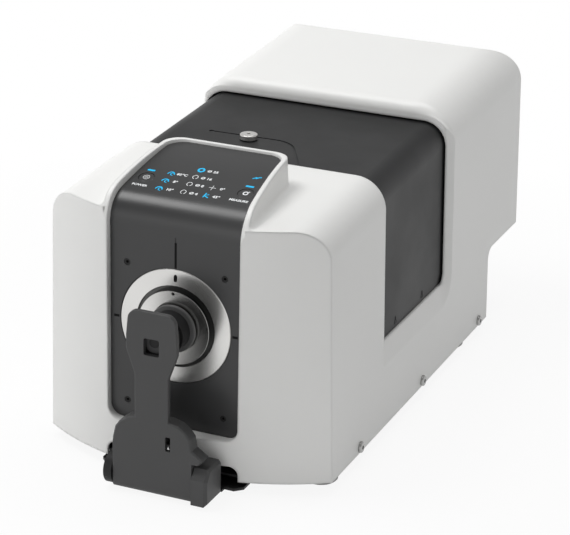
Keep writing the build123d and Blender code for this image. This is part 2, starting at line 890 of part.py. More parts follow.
with BuildPart() as sphere_rear:
    add(sphere_half(sphere_at, sphere_at + sphere_outer))
    with BuildSketch(x_plane(front_wall_at - 0.3)):
        with Locations((view_x, port_height)):
            Circle(view_bore + 6)
    extrude(amount=24)
    with Locations(sphere_centre):
        Sphere(sphere_inner, mode=Mode.SUBTRACT)
    with BuildSketch(x_plane(front_wall_at + 1)):
        with Locations((view_x, port_height)):
            Circle(view_bore)
    extrude(amount=sphere_inner, mode=Mode.SUBTRACT)
    with BuildSketch(x_plane(sphere_at + sphere_flange)):
        with Locations((0, port_height)):
            with PolarLocations((sphere_outer + sphere_flange_radius) / 2 + 0.5, 8, 22.5):
                Circle(1.8)
    extrude(amount=sphere_flange, mode=Mode.SUBTRACT)
sphere_rear.part.label = "sphere_rear"
export_step(sphere_rear.part, "parts/sphere_rear.step")

with BuildPart() as sphere_screws:
    for first, radius, length in ((sphere_at + sphere_flange, 1.7, 2 * sphere_flange),
                                  (sphere_at - sphere_flange, 3.0, 2.0)):
        with BuildSketch(x_plane(first)):
            with Locations((0, port_height)):
                with PolarLocations((sphere_outer + sphere_flange_radius) / 2 + 0.5, 8, 22.5):
                    Circle(radius)
        extrude(amount=length)
sphere_screws.part.label = "sphere_screws"
export_step(sphere_screws.part, "parts/sphere_screws.step")

# --- cradle under the rear half of the sphere ---
cradle_base_z = foot_height + plate_thickness
with BuildPart() as sphere_cradle:
    with BuildSketch(x_plane(cradle_at + 2 * sheet)):
        with BuildLine():
            Polyline(
                (-cradle_half - 8, cradle_base_z),
                (cradle_half + 8, cradle_base_z),
                (cradle_half, cradle_top),
                (-cradle_half, cradle_top),
                close=True,
            )
        make_face()
    extrude(amount=2 * sheet)
    with Locations(sphere_centre):
        Sphere(sphere_outer + 0.3, mode=Mode.SUBTRACT)
    with BuildSketch(Plane.XY.offset(cradle_base_z)):
        with Locations((0, at(cradle_at + 2 * sheet + 7))):
            Rectangle(2 * cradle_half + 16, 14)
    extrude(amount=sheet)
sphere_cradle.part.label = "sphere_cradle"
export_step(sphere_cradle.part, "parts/sphere_cradle.step")

# --- lamp housing and flash lamp, on the left of the sphere ---
with BuildPart() as lamp_housing:
    with BuildSketch(Plane.YZ.offset(-lamp_reach)):
        with Locations((at(lamp_at), port_height)):
            Circle(lamp_tube)
    extrude(amount=lamp_reach - sphere_outer * 0.7)
    with BuildSketch(Plane.YZ.offset(-lamp_reach + 2)):
        with Locations((at(lamp_at), port_height)):
            Circle(lamp_tube - 2)
    extrude(amount=lamp_reach, mode=Mode.SUBTRACT)
    with Locations(sphere_centre):
        Sphere(sphere_outer + 0.1, mode=Mode.SUBTRACT)
lamp_housing.part.label = "lamp_housing"
export_step(lamp_housing.part, "parts/lamp_housing.step")

with BuildPart() as flash_lamp:
    with BuildSketch(Plane.YZ.offset(-lamp_reach + 2)):
        with Locations((at(lamp_at), port_height)):
            Circle(lamp_tube - 2.5)
    extrude(amount=7)
    with BuildSketch(Plane.YZ.offset(-lamp_reach + 9)):
        with Locations((at(lamp_at), port_height)):
            Circle(lamp_tube / 2)
    extrude(amount=22)
    fillet(flash_lamp.edges().group_by(Axis.X)[-1], 5)
flash_lamp.part.label = "flash_lamp"
export_step(flash_lamp.part, "parts/flash_lamp.step")

# --- compartment: deck on posts, front and rear wall, lens barrel ---
deck_top = deck_z + sheet
deck_half = half_width(deck_top, flange_depth + 0.5)
with BuildPart() as deck_posts:
    with BuildSketch(Plane.XY.offset(cradle_base_z)):
        with Locations(*[(side * post_x, at(d)) for side in (-1, 1) for d in posts_at]):
            Circle(post_radius)
    extrude(amount=deck_z - cradle_base_z)
deck_posts.part.label = "deck_posts"
export_step(deck_posts.part, "parts/deck_posts.step")

with BuildPart() as chamber_deck:
    with BuildSketch(Plane.XY.offset(deck_z)) as deck_plan:
        with Locations((0, at((deck_start + deck_end) / 2))):
            Rectangle(2 * deck_half, deck_end - deck_start)
        chamfer(deck_plan.vertices(), 4)
    extrude(amount=sheet)
    # trough of the cable duct, pressed into the deck
    with BuildSketch(Plane.XY.offset(deck_top)):
        with Locations((0, at((rear_wall_at + front_wall_at) / 2))):
            RectangleRounded(1.2 * rear_wall_half, 0.7 * (rear_wall_at - front_wall_at), 8)
    extrude(amount=-sheet * 0.4, mode=Mode.SUBTRACT)
chamber_deck.part.label = "chamber_deck"
export_step(chamber_deck.part, "parts/chamber_deck.step")

wall_inset = cover_inset + cover_wall + 1.0
wall_top = shoulder_z(shoulder_end) - wall_inset
with BuildPart() as chamber_front_wall:
    with BuildSketch(x_plane(front_wall_at + sheet)):
        add(section(front_wall_at, wall_top, shoulder_radius - wall_inset, wall_inset, deck_top))
        with Locations((view_x, port_height)):
            Circle(view_bore + 0.5, mode=Mode.SUBTRACT)
    extrude(amount=sheet)
    with BuildSketch(x_plane(front_wall_at)):
        with Locations((0, wall_top - sheet / 2)):
            Rectangle(2 * rear_wall_half - 40, sheet)
    extrude(amount=front_wall_at - shoulder_end - 2)
chamber_front_wall.part.label = "chamber_front_wall"
export_step(chamber_front_wall.part, "parts/chamber_front_wall.step")

lens_x = tan(radians(view_angle)) * (rear_wall_at - sphere_face)
with BuildPart() as chamber_rear_wall:
    with BuildSketch(x_plane(rear_wall_at + sheet)) as rear_outline:
        with Locations((0, (deck_top + rear_wall_top) / 2)):
            Rectangle(2 * rear_wall_half, rear_wall_top - deck_top)
        fillet(rear_outline.vertices().group_by(Axis.Y)[-1], rear_wall_round)
        with Locations((lens_x, port_height)):
            Circle(lens_radius + 0.3, mode=Mode.SUBTRACT)
    extrude(amount=sheet)
chamber_rear_wall.part.label = "chamber_rear_wall"
export_step(chamber_rear_wall.part, "parts/chamber_rear_wall.step")

with BuildPart() as lens_barrel:
    with BuildSketch(x_plane(optics_start)):
        with Locations((lens_x, port_height)):
            Circle(lens_radius)
            Circle(lens_radius - 3, mode=Mode.SUBTRACT)
    extrude(amount=optics_start - lens_front)
    chamfer(lens_barrel.edges().group_by(Axis.Y)[0], 0.8)
lens_barrel.part.label = "lens_barrel"
export_step(lens_barrel.part, "parts/lens_barrel.step")

with BuildPart() as lens_glass:
    with BuildSketch(x_plane(lens_front + 9)):
        with Locations((lens_x, port_height)):
            Circle(lens_radius - 3.1)
    extrude(amount=4)
lens_glass.part.label = "lens_glass"
export_step(lens_glass.part, "parts/lens_glass.step")

# --- slide rails, one angle each side ---
with BuildPart() as slide_rails:
    with BuildSketch(x_plane(rail_end)):
        with BuildLine():
            Polyline(
                (rail_x - rail_foot, deck_top),
                (rail_x + rail_lip, deck_top),
                (rail_x + rail_lip, deck_top + rail_height),
                (rail_x, deck_top + rail_height),
                (rail_x, deck_top + rail_lip),
                (rail_x - rail_foot, deck_top + rail_lip),
                close=True,
            )
        make_face()
    extrude(amount=rail_end - rail_start)
    mirror(about=Plane.YZ)
slide_rails.part.label = "slide_rails"
export_step(slide_rails.part, "parts/slide_rails.step")

# --- sliding cover: thin saddle-shaped hood, open below and at both ends ---
with BuildPart() as chamber_cover:
    add(cover_form(0))
    add(cover_form(cover_wall, cover_low_z - 5, 5), mode=Mode.SUBTRACT)
    # hairline channel that frames the knob
    with BuildPart(mode=Mode.PRIVATE) as channel:
        with BuildSketch(Plane.XY.offset(shoulder_front_z - 10)):
            with BuildLine():
                FilletPolyline(
                    (groove_start_x, at(groove_at)),
                    (groove_corner_x, at(groove_at + 2)),
                    (groove_end_x, at(shoulder_end - 2)),
                    radius=groove_radius,
                )
            trace(line_width=groove_width)
            with Locations((groove_start_x, at(groove_at))):
                Circle(groove_pit)
        extrude(amount=40)
        add(cover_form(-2, cover_low_z, 5), mode=Mode.INTERSECT)
        add(cover_form(groove_depth, cover_low_z, 10), mode=Mode.SUBTRACT)
    add(channel.part, mode=Mode.SUBTRACT)
    with BuildSketch(Plane.XY.offset(shoulder_front_z - 10)):
        with Locations((knob_x, at(knob_at))):
            Circle(knob_shaft + knob_gap)
    extrude(amount=40, mode=Mode.SUBTRACT)
chamber_cover.part.label = "chamber_cover"
export_step(chamber_cover.part, "parts/chamber_cover.step")

cover_inside = cover_inset + cover_wall
with BuildPart() as cover_runners:
    for station in runner_stations:
        with BuildSketch(x_plane(station + runner_length)):
            with BuildLine():
                hook_z = deck_top + rail_height + runner_gap
                inner_x = rail_x + rail_lip + runner_gap
                Polyline(
                    (inner_x, runner_low_z),
                    (half_width(runner_low_z, cover_inside), runner_low_z),
                    (half_width(hook_z + sheet, cover_inside), hook_z + sheet),
                    (rail_x - rail_lip, hook_z + sheet),
                    (rail_x - rail_lip, hook_z),
                    (inner_x, hook_z),
                    close=True,
                )
            make_face()
        extrude(amount=runner_length)
    mirror(about=Plane.YZ)
cover_runners.part.label = "cover_runners"
export_step(cover_runners.part, "parts/cover_runners.step")

# --- cover knob: cap, shaft through the cover and latch cam below it ---
knob_seat = shoulder_z(knob_at + knob_radius) - cover_inset + 0.3
cam_top = shoulder_z(knob_at - cam_length) - cover_inside - 0.4
with BuildPart() as cover_knob:
    with BuildSketch(Plane.XY.offset(knob_seat)):
        with Locations((knob_x, at(knob_at))):
            Circle(knob_radius)
    extrude(amount=knob_height)
    fillet(cover_knob.edges().group_by(Axis.Z)[-1], 1.0)
    with BuildSketch(Plane.XY.offset(knob_seat + knob_height)):
        with Locations((knob_x, at(knob_at))):
            RegularPolygon(knob_socket, 6)
    extrude(amount=-1.5, mode=Mode.SUBTRACT)
    with BuildSketch(Plane.XY.offset(cam_top - cam_thickness)):
        with Locations((knob_x, at(knob_at))):
            Circle(knob_shaft)
    extrude(amount=knob_seat - cam_top + cam_thickness)
    with BuildSketch(Plane.XY.offset(cam_top - cam_thickness)):
        with Locations((knob_x, at(knob_at - cam_length / 2))):
            SlotOverall(cam_length + 8, 8, rotation=90)
    extrude(amount=cam_thickness)
cover_knob.part.label = "cover_knob"
export_step(cover_knob.part, "parts/cover_knob.step")

# --- spectrometer: box, lid and lid screws ---
optics_length = optics_end - optics_start
with BuildPart() as spectrometer_box:
    with BuildSketch(Plane.XY.offset(deck_top)):
        with Locations((0, at(optics_start + optics_length / 2))):
            RectangleRounded(2 * optics_half, optics_length, optics_round)
    extrude(amount=optics_height)
    with BuildSketch(x_plane(optics_start + 20)):
        with Locations((lens_x, port_height)):
            Circle(lens_radius - 3)
    extrude(amount=20, mode=Mode.SUBTRACT)
spectrometer_box.part.label = "spectrometer_box"
export_step(spectrometer_box.part, "parts/spectrometer_box.step")

lid_points = [
    (side * (optics_half - 6), at(optics_start + optics_length * share))
    for side in (-1, 1) for share in (0.06, 0.5, 0.94)
]
with BuildPart() as spectrometer_lid:
    with BuildSketch(Plane.XY.offset(deck_top + optics_height)):
        with Locations((0, at(optics_start + optics_length / 2))):
            RectangleRounded(2 * optics_half, optics_length, optics_round)
    extrude(amount=optics_lid)
    fillet(spectrometer_lid.edges().group_by(Axis.Z)[-1], 1.0)
spectrometer_lid.part.label = "spectrometer_lid"
export_step(spectrometer_lid.part, "parts/spectrometer_lid.step")

with BuildPart() as lid_screws:
    with BuildSketch(Plane.XY.offset(deck_top + optics_height + optics_lid)):
        with Locations(*lid_points):
            Circle(2.8)
            RegularPolygon(1.3, 6, mode=Mode.SUBTRACT)
    extrude(amount=2.0)
lid_screws.part.label = "lid_screws"
export_step(lid_screws.part, "parts/lid_screws.step")

# --- main board on spacers, power supply ---
board_mid = at((board_front + board_rear) / 2)
spacer_points = [
    (side * (board_half - 6), at(d)) for side in (-1, 1) for d in (board_front + 6, board_rear - 6)
]
with BuildPart() as board_spacers:
    with BuildSketch(Plane.XY.offset(cradle_base_z)):
        with Locations(*spacer_points):
            RegularPolygon(3.2, 6)
    extrude(amount=board_z - cradle_base_z)
board_spacers.part.label = "board_spacers"
export_step(board_spacers.part, "parts/board_spacers.step")

with BuildPart() as main_board:
    with BuildSketch(Plane.XY.offset(board_z)):
        with Locations((0, board_mid)):
            RectangleRounded(2 * board_half, board_rear - board_front, 3)
    extrude(amount=board_thickness)
    for x, y, wide, deep, tall in (
        (-30, 20, 34, 34, 3.0), (28, 30, 22, 22, 3.0), (30, -35, 40, 12, 9.0),
        (-45, -50, 14, 30, 9.0), (48, 62, 18, 10, 12.0), (-10, -20, 14, 14, 2.4),
    ):
        with BuildSketch(Plane.XY.offset(board_z + board_thickness)):
            with Locations((x, board_mid + y)):
                Rectangle(wide, deep)
        extrude(amount=tall)
main_board.part.label = "main_board"
export_step(main_board.part, "parts/main_board.step")

with BuildPart() as power_supply:
    with BuildSketch(Plane.XY.offset(cradle_base_z)):
        with Locations((0, at((supply_front + supply_rear) / 2))):
            Rectangle(2 * supply_half, supply_rear - supply_front)
    extrude(amount=supply_height)
    chamfer(power_supply.edges().group_by(Axis.Z)[-1], 1.5)
    with BuildSketch(Plane.XY.offset(cradle_base_z + supply_height)):
        with GridLocations(12, 11, 7, 4):
            with Locations((0, at((supply_front + supply_rear) / 2))):
                SlotOverall(8, 3)
    extrude(amount=-1.5, mode=Mode.SUBTRACT)
power_supply.part.label = "power_supply"
export_step(power_supply.part, "parts/power_supply.step")

# --- connector plate with the power inlet and the data socket ---
plate_face = step_in - wall - 0.3
with BuildPart() as connector_plate:
    with BuildSketch(x_plane(plate_face)):
        with Locations((connector_x, (connector_z + connector_height / 2 + connector_margin + cradle_base_z) / 2)):
            Rectangle(connector_width + 2 * connector_margin,
                      connector_z + connector_height / 2 + connector_margin - cradle_base_z)
        with Locations((jack_x, connector_z)):
            Circle(5.6, mode=Mode.SUBTRACT)
        with Locations((socket_x, connector_z)):
            Rectangle(12.6, 11.6, mode=Mode.SUBTRACT)
    extrude(amount=2)
connector_plate.part.label = "connector_plate"
export_step(connector_plate.part, "parts/connector_plate.step")

with BuildPart() as power_inlet:
    with BuildSketch(x_plane(plate_face - 2)):
        with Locations((jack_x, connector_z)):
            Rectangle(14, 13)
    extrude(amount=12)
    with BuildSketch(x_plane(plate_face + 1)):
        with Locations((jack_x, connector_z)):
            Circle(5.4)
    extrude(amount=4)
    with BuildSketch(x_plane(plate_face + 1)):
        with Locations((jack_x, connector_z)):
            Circle(3.2)
            Circle(1.0, mode=Mode.SUBTRACT)
    extrude(amount=10, mode=Mode.SUBTRACT)
power_inlet.part.label = "power_inlet"
export_step(power_inlet.part, "parts/power_inlet.step")

with BuildPart() as data_socket:
    with BuildSketch(x_plane(plate_face + 1)):
        with Locations((socket_x, connector_z)):
            Rectangle(12, 11)
    extrude(amount=16)
    with BuildSketch(x_plane(plate_face + 1)):
        with Locations((socket_x, connector_z)):
            Rectangle(8.6, 8)
    extrude(amount=9, mode=Mode.SUBTRACT)
data_socket.part.label = "data_socket"
export_step(data_socket.part, "parts/data_socket.step")

# --- arm bracket: plate under the casing, left ear for the hinge pin ---
ear_right = barrel_left - ear_gap
with BuildPart() as arm_bracket:
    with BuildSketch(Plane.YZ):
        with BuildLine():
            Polyline(
                (at(3), bracket_z),
                (at(22), bracket_z),
                (at(28), foot_height - bracket_sheet),
                (at(70), foot_height - bracket_sheet),
                (at(70), foot_height),
                (at(26), foot_height),
                (at(20), bracket_z + bracket_sheet),
                (at(3), bracket_z + bracket_sheet),
                close=True,
            )
        make_face()
    extrude(amount=bracket_half, both=True)
    with BuildSketch(Plane.XY) as bracket_plan:
        with Locations((0, at(38))):
            Rectangle(2 * bracket_half, 70)
        chamfer(bracket_plan.vertices().group_by(Axis.Y)[0], 6)
    extrude(amount=foot_height + 1, mode=Mode.INTERSECT)
    with BuildSketch(Plane.XY.offset(bracket_z)):
        with Locations(((damper_left + damper_right) / 2, at(1))):
            Rectangle(damper_right - damper_left, 6)
    extrude(amount=bracket_sheet)
    with BuildSketch(Plane.YZ.offset(ear_right)):
        with Locations((at(arm_axis_at), arm_axis_z)):
            Circle(ear_radius)
        with BuildLine():
            Polyline(
                (at(arm_axis_at), arm_axis_z - ear_radius + 1),
                (at(12), bracket_z),
                (at(12), arm_axis_z - 2),
                (at(arm_axis_at + 6), arm_axis_z + ear_radius - 3),
                close=True,
            )
        make_face()
    extrude(amount=-ear_width)
    with BuildSketch(Plane.YZ):
        with Locations((at(arm_axis_at), arm_axis_z)):
            Circle(pin_radius + pin_gap)
    extrude(amount=-body_width, mode=Mode.SUBTRACT)
arm_bracket.part.label = "arm_bracket"
export_step(arm_bracket.part, "parts/arm_bracket.step")

with BuildPart() as hinge_pin:
    with BuildSketch(Plane.YZ.offset(ear_right - ear_width - 1)):
        with Locations((at(arm_axis_at), arm_axis_z)):
            Circle(pin_radius)
    extrude(amount=damper_right - 3 - (ear_right - ear_width - 1))
    chamfer(hinge_pin.edges(), 0.4)
hinge_pin.part.label = "hinge_pin"
export_step(hinge_pin.part, "parts/hinge_pin.step")

# --- hinge damper: box on the right end of the pin ---
with BuildPart() as hinge_damper:
    with BuildSketch(Plane.YZ.offset(damper_left)):
        with BuildLine():
            Polyline(
                (at(-2), bracket_z - 0.8),
                (at(-holder_reach), bracket_z - 0.8),
                (at(-holder_reach), damper_top - 8.5),
                (at(-24.5), damper_top),
                (at(-4), damper_top),
                (at(-2), damper_top - 2),
                close=True,
            )
        make_face()
    extrude(amount=damper_right - damper_left)
    outer_face = hinge_damper.faces().sort_by(Axis.X)[-1]
    chamfer(outer_face.edges(), 2.2)
    with BuildSketch(Plane.YZ.offset(damper_left)):
        with Locations((at(arm_axis_at), arm_axis_z)):
            Circle(pin_radius + pin_gap)
    extrude(amount=damper_right - damper_left - 2.5, mode=Mode.SUBTRACT)
hinge_damper.part.label = "hinge_damper"
export_step(hinge_damper.part, "parts/hinge_damper.step")

# --- sample arm: barrel on the pin, deep shroud, slim neck and rounded tip ---
arm_rear = arm_front + arm_depth
plate_rear = arm_front + arm_plate
boss_end = pad_back - 4
with BuildPart() as sample_arm:
    with BuildSketch(x_plane(arm_rear)):
        with BuildLine():
            Polyline(
                (barrel_left, arm_low_z),
                (barrel_left, 47),
                (barrel_left + 2, 55.8),
                (barrel_left + 5.8, 61.4),
                (barrel_left + 11.5, 65.4),
                (-arm_neck_half, shroud_top),
                (arm_neck_half, shroud_top),
                (barrel_right - 11.5, 65.8),
                (barrel_right - 6, 62),
                (barrel_right - 1.6, 56.5),
                (barrel_right, 47.5),
                (barrel_right + 9.4, 41),
                (barrel_right + 6, 36.6),
                (barrel_right, 36.6),
                (barrel_right, arm_low_z),
                close=True,
            )
        make_face()
    extrude(amount=arm_depth)
    fillet(sample_arm.edges().filter_by(Axis.X).group_by(Axis.Z)[0].sort_by(Axis.Y)[0], arm_foot_round)
    front_face = sample_arm.faces().filter_by(Axis.Y).sort_by(Axis.Y)[0]
    shoulder_edges = front_face.edges().filter_by(
        lambda e: e.center().Z > 37 and abs(e.center().X) > arm_neck_half
    )
    chamfer(shoulder_edges, arm_edge_round)
    with BuildSketch(x_plane(plate_rear)) as neck_view:
        with BuildLine():
            Polyline(
                (-arm_neck_half, arm_axis_z),
                (-arm_neck_half, arm_neck_top),
                (-arm_tip_widest, arm_widest_z - 8),
                (-arm_tip_widest, arm_widest_z + 3),
                (-arm_tip_half, arm_top),
                (arm_tip_half, arm_top),
                (arm_tip_widest, arm_widest_z + 3),
                (arm_tip_widest, arm_widest_z - 8),
                (arm_neck_half, arm_neck_top),
                (arm_neck_half, arm_axis_z),
                close=True,
            )
        make_face()
        fillet(neck_view.vertices().group_by(Axis.Z)[-1], arm_tip_round)
        fillet(neck_view.vertices().filter_by(
            lambda v: arm_neck_top - 1 < v.Z < arm_widest_z + 5), arm_tip_round)
    extrude(amount=arm_plate)
    tip_edges = sample_arm.faces().sort_by(Axis.Y)[0].edges()
    fillet(tip_edges.filter_by(lambda e: e.center().Z > arm_neck_top), 0.8)
    with BuildSketch(Plane.YZ.offset(barrel_left)):
        with Locations((at(arm_axis_at), arm_axis_z)):
            Circle(barrel_radius)
    extrude(amount=barrel_right - barrel_left)
    with BuildSketch(x_plane(boss_end)):
        with Locations((0, port_height)):
            Circle(pad_boss)
    extrude(amount=boss_end - plate_rear + 0.5)
    with BuildSketch(x_plane(boss_end + 1)):
        with Locations((0, port_height)):
            Circle(pad_stem_radius + pin_gap)
    extrude(amount=boss_end + 1 - plate_rear + 0.5, mode=Mode.SUBTRACT)
    with BuildSketch(x_plane(plate_rear + 2)):
        with Locations((0, (window_low_z + window_high_z) / 2)):
            RectangleRounded(2 * window_half, window_high_z - window_low_z, 1.5)
    extrude(amount=arm_plate + 2, mode=Mode.SUBTRACT)
    with BuildSketch(x_plane(arm_rear)):
        with Locations((catch_x, (catch_low_z + catch_high_z) / 2)):
            RectangleRounded(catch_width, catch_high_z - catch_low_z, 0.8)
    extrude(amount=arm_depth, mode=Mode.SUBTRACT)
    with BuildSketch(Plane.YZ):
        with Locations((at(arm_axis_at), arm_axis_z)):
            Circle(pin_radius + pin_gap)
    extrude(amount=body_width, both=True, mode=Mode.SUBTRACT)
sample_arm.part.label = "sample_arm"
export_step(sample_arm.part, "parts/sample_arm.step")

# --- catch in the arm's slot ---
with BuildPart() as arm_catch:
    with BuildSketch(x_plane(arm_rear + 0.4)):
        with Locations((catch_x, catch_low_z + 0.4 + catch_length / 2)):
            Rectangle(catch_width - 0.6, catch_length)
    extrude(amount=arm_depth - 0.8)
    with BuildSketch(x_plane(arm_rear + 1.8)):
        with Locations((catch_x, catch_low_z + 0.4 + catch_length / 2)):
            Rectangle(catch_width + 4, catch_length + 4)
    extrude(amount=1.4)
arm_catch.part.label = "arm_catch"
export_step(arm_catch.part, "parts/arm_catch.step")

# --- sprung sample pad: stem with its cup, and the pad itself ---
with BuildPart() as pad_stem:
    with BuildSketch(x_plane(pad_back + 3)):
        with Locations((0, port_height)):
            Circle(pad_radius - 2)
    extrude(amount=3)
    with BuildSketch(x_plane(pad_back)):
        with Locations((0, port_height)):
            Circle(pad_stem_radius)
    extrude(amount=pad_back - pad_stem_end)
pad_stem.part.label = "pad_stem"
export_step(pad_stem.part, "parts/pad_stem.step")

with BuildPart() as sample_pad:
    add(turned(port_height, (
        (0, pad_back + 3),
        (pad_radius, pad_back + 3),
        (pad_radius, pad_front - 1.2),
        (pad_radius - 1.2, pad_front),
        (0, pad_front),
    )))
sample_pad.part.label = "sample_pad"
export_step(sample_pad.part, "parts/sample_pad.step")
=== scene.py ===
from math import cos, hypot, pi, radians, sin, sqrt

import bmesh
import bpy
from bpy.props import FloatProperty, FloatVectorProperty, PointerProperty
from mathutils import Matrix, Vector


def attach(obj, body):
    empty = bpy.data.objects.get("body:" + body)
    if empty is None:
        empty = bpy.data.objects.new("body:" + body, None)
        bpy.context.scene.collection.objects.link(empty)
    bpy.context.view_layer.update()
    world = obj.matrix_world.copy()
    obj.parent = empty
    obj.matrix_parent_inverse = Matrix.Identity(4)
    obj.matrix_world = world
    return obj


bl_info = {
    "name": "Benchtop colorimeter",
    "version": (1, 0, 0),
    "blender": (4, 5, 0),
    "location": "View3D > Sidebar > Colorimeter",
    "description": "Dresses the colorimeter's frame: casing, key panel, port, cover, arm",
    "category": "Object",
}

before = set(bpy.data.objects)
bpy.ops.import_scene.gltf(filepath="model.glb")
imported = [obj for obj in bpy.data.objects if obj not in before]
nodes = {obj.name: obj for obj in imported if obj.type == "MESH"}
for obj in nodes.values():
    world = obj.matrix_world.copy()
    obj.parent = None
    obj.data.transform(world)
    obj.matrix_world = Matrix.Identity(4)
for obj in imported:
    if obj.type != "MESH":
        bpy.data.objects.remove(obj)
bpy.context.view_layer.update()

mm = 0.001

# Stations along the instrument are counted from the foremost point of the bowed front.
front_bow = -0.2335


def at(station):
    """Y of a station given in metres behind the foremost point of the front face."""
    return front_bow + station


def in_mm(*values):
    """Metres of values given in millimetres."""
    return tuple(value * mm for value in values)


# ---------------------------------------------------------------------------
# Sizes and colours
# ---------------------------------------------------------------------------

def length(name, description, default):
    """Length that a user can change."""
    return FloatProperty(name=name, description=description, default=default, unit="LENGTH")


def colour(name, description, default):
    """Colour that a user can change."""
    return FloatVectorProperty(
        name=name, description=description, default=default, size=3, subtype="COLOR",
        min=0.0, max=1.0,
    )


class PanelSizes(bpy.types.PropertyGroup):
    """Front panel: its faces, keys and screws, and the marks printed on it."""

    crown_radius: length("Crown radius", "Crown of the key panel along the instrument", 0.487)
    bend_radius: length("Bend radius", "Bend between the upright and the inclined face", 0.024)
    slope: FloatProperty(
        name="Slope", description="Slope where the bend ends", default=radians(16), subtype="ANGLE"
    )
    face: length("Upright face", "Station of the upright face of the panel", 0.0128)
    bend_z: length("Bend height", "Height at which the bend starts", 0.207)
    key_x: length("Key offset", "Distance of each key from the middle", 0.0422)
    key_at: length("Key station", "Station of the two keys", 0.0472)
    screw_x: length("Screw offset", "Distance of the panel screws from the middle", 0.0415)
    screw_low: length("Low screws", "Height of the lower panel screws", 0.0593)
    screw_high: length("High screws", "Height of the upper panel screws", 0.1761)
    screw_socket: length("Screw socket", "Station of the bottom of their sockets", 0.01406)
    print_lift: length("Print lift", "Height of the printed marks above the panel", 0.00012)
    figure_height: length("Figure height", "Height of the printed figures", 0.0029)


class PortSizes(bpy.types.PropertyGroup):
    """Measuring port on the upright face."""

    height: length("Port height", "Height of the port axis over the table", 0.1297)
    lip_radius: length("Lip radius", "Inner radius of the lip of the ring", 0.0333)
    mask_radius: length("Mask radius", "Radius of the target mask", 0.0305)


class CoverSizes(bpy.types.PropertyGroup):
    """Sliding cover over the compartment."""

    side: length("Side", "Distance of the cover's side faces from the middle", 0.1149)


class Finishes(bpy.types.PropertyGroup):
    """Colours of the finishes."""

    casing: colour("Casing", "White moulding", (0.85, 0.85, 0.835))
    panel: colour("Front panel", "Dark front panel", (0.037, 0.0373, 0.038))
    cover: colour("Cover", "Dark sliding cover", (0.019, 0.0192, 0.0198))
    arm: colour("Sample arm", "Dark grey arm", (0.048, 0.0483, 0.049))
    metal: colour("Turned metal", "Port ring and mask", (0.68, 0.675, 0.66))
    print_white: colour("White print", "White marks on the panel", (0.85, 0.87, 0.88))
    print_blue: colour("Blue print", "Blue marks and indicators", (0.0, 0.45, 0.80))
    backdrop: colour("Backdrop", "Floor and backdrop", (0.92, 0.92, 0.92))


# ---------------------------------------------------------------------------
# Nodes
# ---------------------------------------------------------------------------

def feed(tree, socket, value):
    """Links an output to a socket, or writes a plain number, vector or colour there."""
    if isinstance(value, bpy.types.NodeSocket):
        tree.links.new(value, socket)
    elif socket.type == "RGBA":
        socket.default_value = (*value, 1.0)
    else:
        socket.default_value = value


def operated(tree, kind, operation, values):
    """Outputs of a Math or Vector Math node that works on the values."""
    node = tree.nodes.new(kind)
    node.operation = operation
    for socket, value in zip(node.inputs, values):
        feed(tree, socket, value)
    return node.outputs


def number(tree, operation, *values):
    """Number worked out from outputs or plain numbers."""
    return operated(tree, "ShaderNodeMath", operation, values)[0]


def vector(tree, operation, *values):
    """Vector worked out from outputs or plain vectors."""
    return operated(tree, "ShaderNodeVectorMath", operation, values)["Vector"]


def distance(tree, place):
    """Distance of a place from the origin."""
    return operated(tree, "ShaderNodeVectorMath", "LENGTH", (place,))["Value"]


def surface_place(tree):
    """Coordinates on the piece, which go with it when it moves."""
    return tree.nodes.new("ShaderNodeTexCoord").outputs["Object"]


def noise(tree, place, scale, detail, roughness):
    """Soft noise over a place."""
    node = tree.nodes.new("ShaderNodeTexNoise")
    for label, value in (
        ("Vector", place), ("Scale", scale), ("Detail", detail), ("Roughness", roughness),
    ):
        feed(tree, node.inputs[label], value)
    return node.outputs["Fac"]


def ranged(tree, value, from_low, from_high, to_low, to_high):
    """Value mapped from one range to another and held inside it."""
    node = tree.nodes.new("ShaderNodeMapRange")
    node.clamp = True
    for label, given in (
        ("Value", value), ("From Min", from_low), ("From Max", from_high),
        ("To Min", to_low), ("To Max", to_high),
    ):
        feed(tree, node.inputs[label], given)
    return node.outputs["Result"]


def tinted(tree, mask, base, other):
    """Colour that goes from one colour to another by a mask."""
    blend = tree.nodes.new("ShaderNodeMix")
    blend.data_type = "RGBA"
    # The Mix node's sockets for colours: factor 0, colours 6 and 7, result 2.
    for socket, value in ((0, mask), (6, base), (7, other)):
        feed(tree, blend.inputs[socket], value)
    return blend.outputs[2]


def mixed(tree, share, first, second):
    """Shader that goes from one shader to another by a share."""
    mix = tree.nodes.new("ShaderNodeMixShader")
    for socket, value in zip(mix.inputs, (share, first, second)):
        feed(tree, socket, value)
    return mix.outputs[0]


def bumped(tree, relief, depth, strength, normal=None):
    """Normal of a relief of the given depth in metres at full strength."""
    bump = tree.nodes.new("ShaderNodeBump")
    for label, value in (("Distance", depth), ("Strength", strength), ("Height", relief)):
        feed(tree, bump.inputs[label], value)
    if normal is not None:
        feed(tree, bump.inputs["Normal"], normal)
    return bump.outputs["Normal"]


# ---------------------------------------------------------------------------
# Surface effects shared by several finishes
# ---------------------------------------------------------------------------

grain_relief = 0.00012
turned_relief = 0.00004
edge_samples = 6
mottle_scale = 14.0
scuff_patch_scale = 9.0

effects = {}


def new_group(name, inputs, outputs):
    """Empty node group with numbers as inputs; returns it with the sockets of its ends."""
    group = bpy.data.node_groups.new(name, "ShaderNodeTree")
    for label, default in inputs.items():
        socket = group.interface.new_socket(
            label, in_out="INPUT", socket_type="NodeSocketFloat"
        )
        socket.default_value = default
    for label in outputs:
        kind = "NodeSocketVector" if label == "Normal" else "NodeSocketFloat"
        group.interface.new_socket(label, in_out="OUTPUT", socket_type=kind)
    start = group.nodes.new("NodeGroupInput")
    end = group.nodes.new("NodeGroupOutput")
    return group, start.outputs, end.inputs


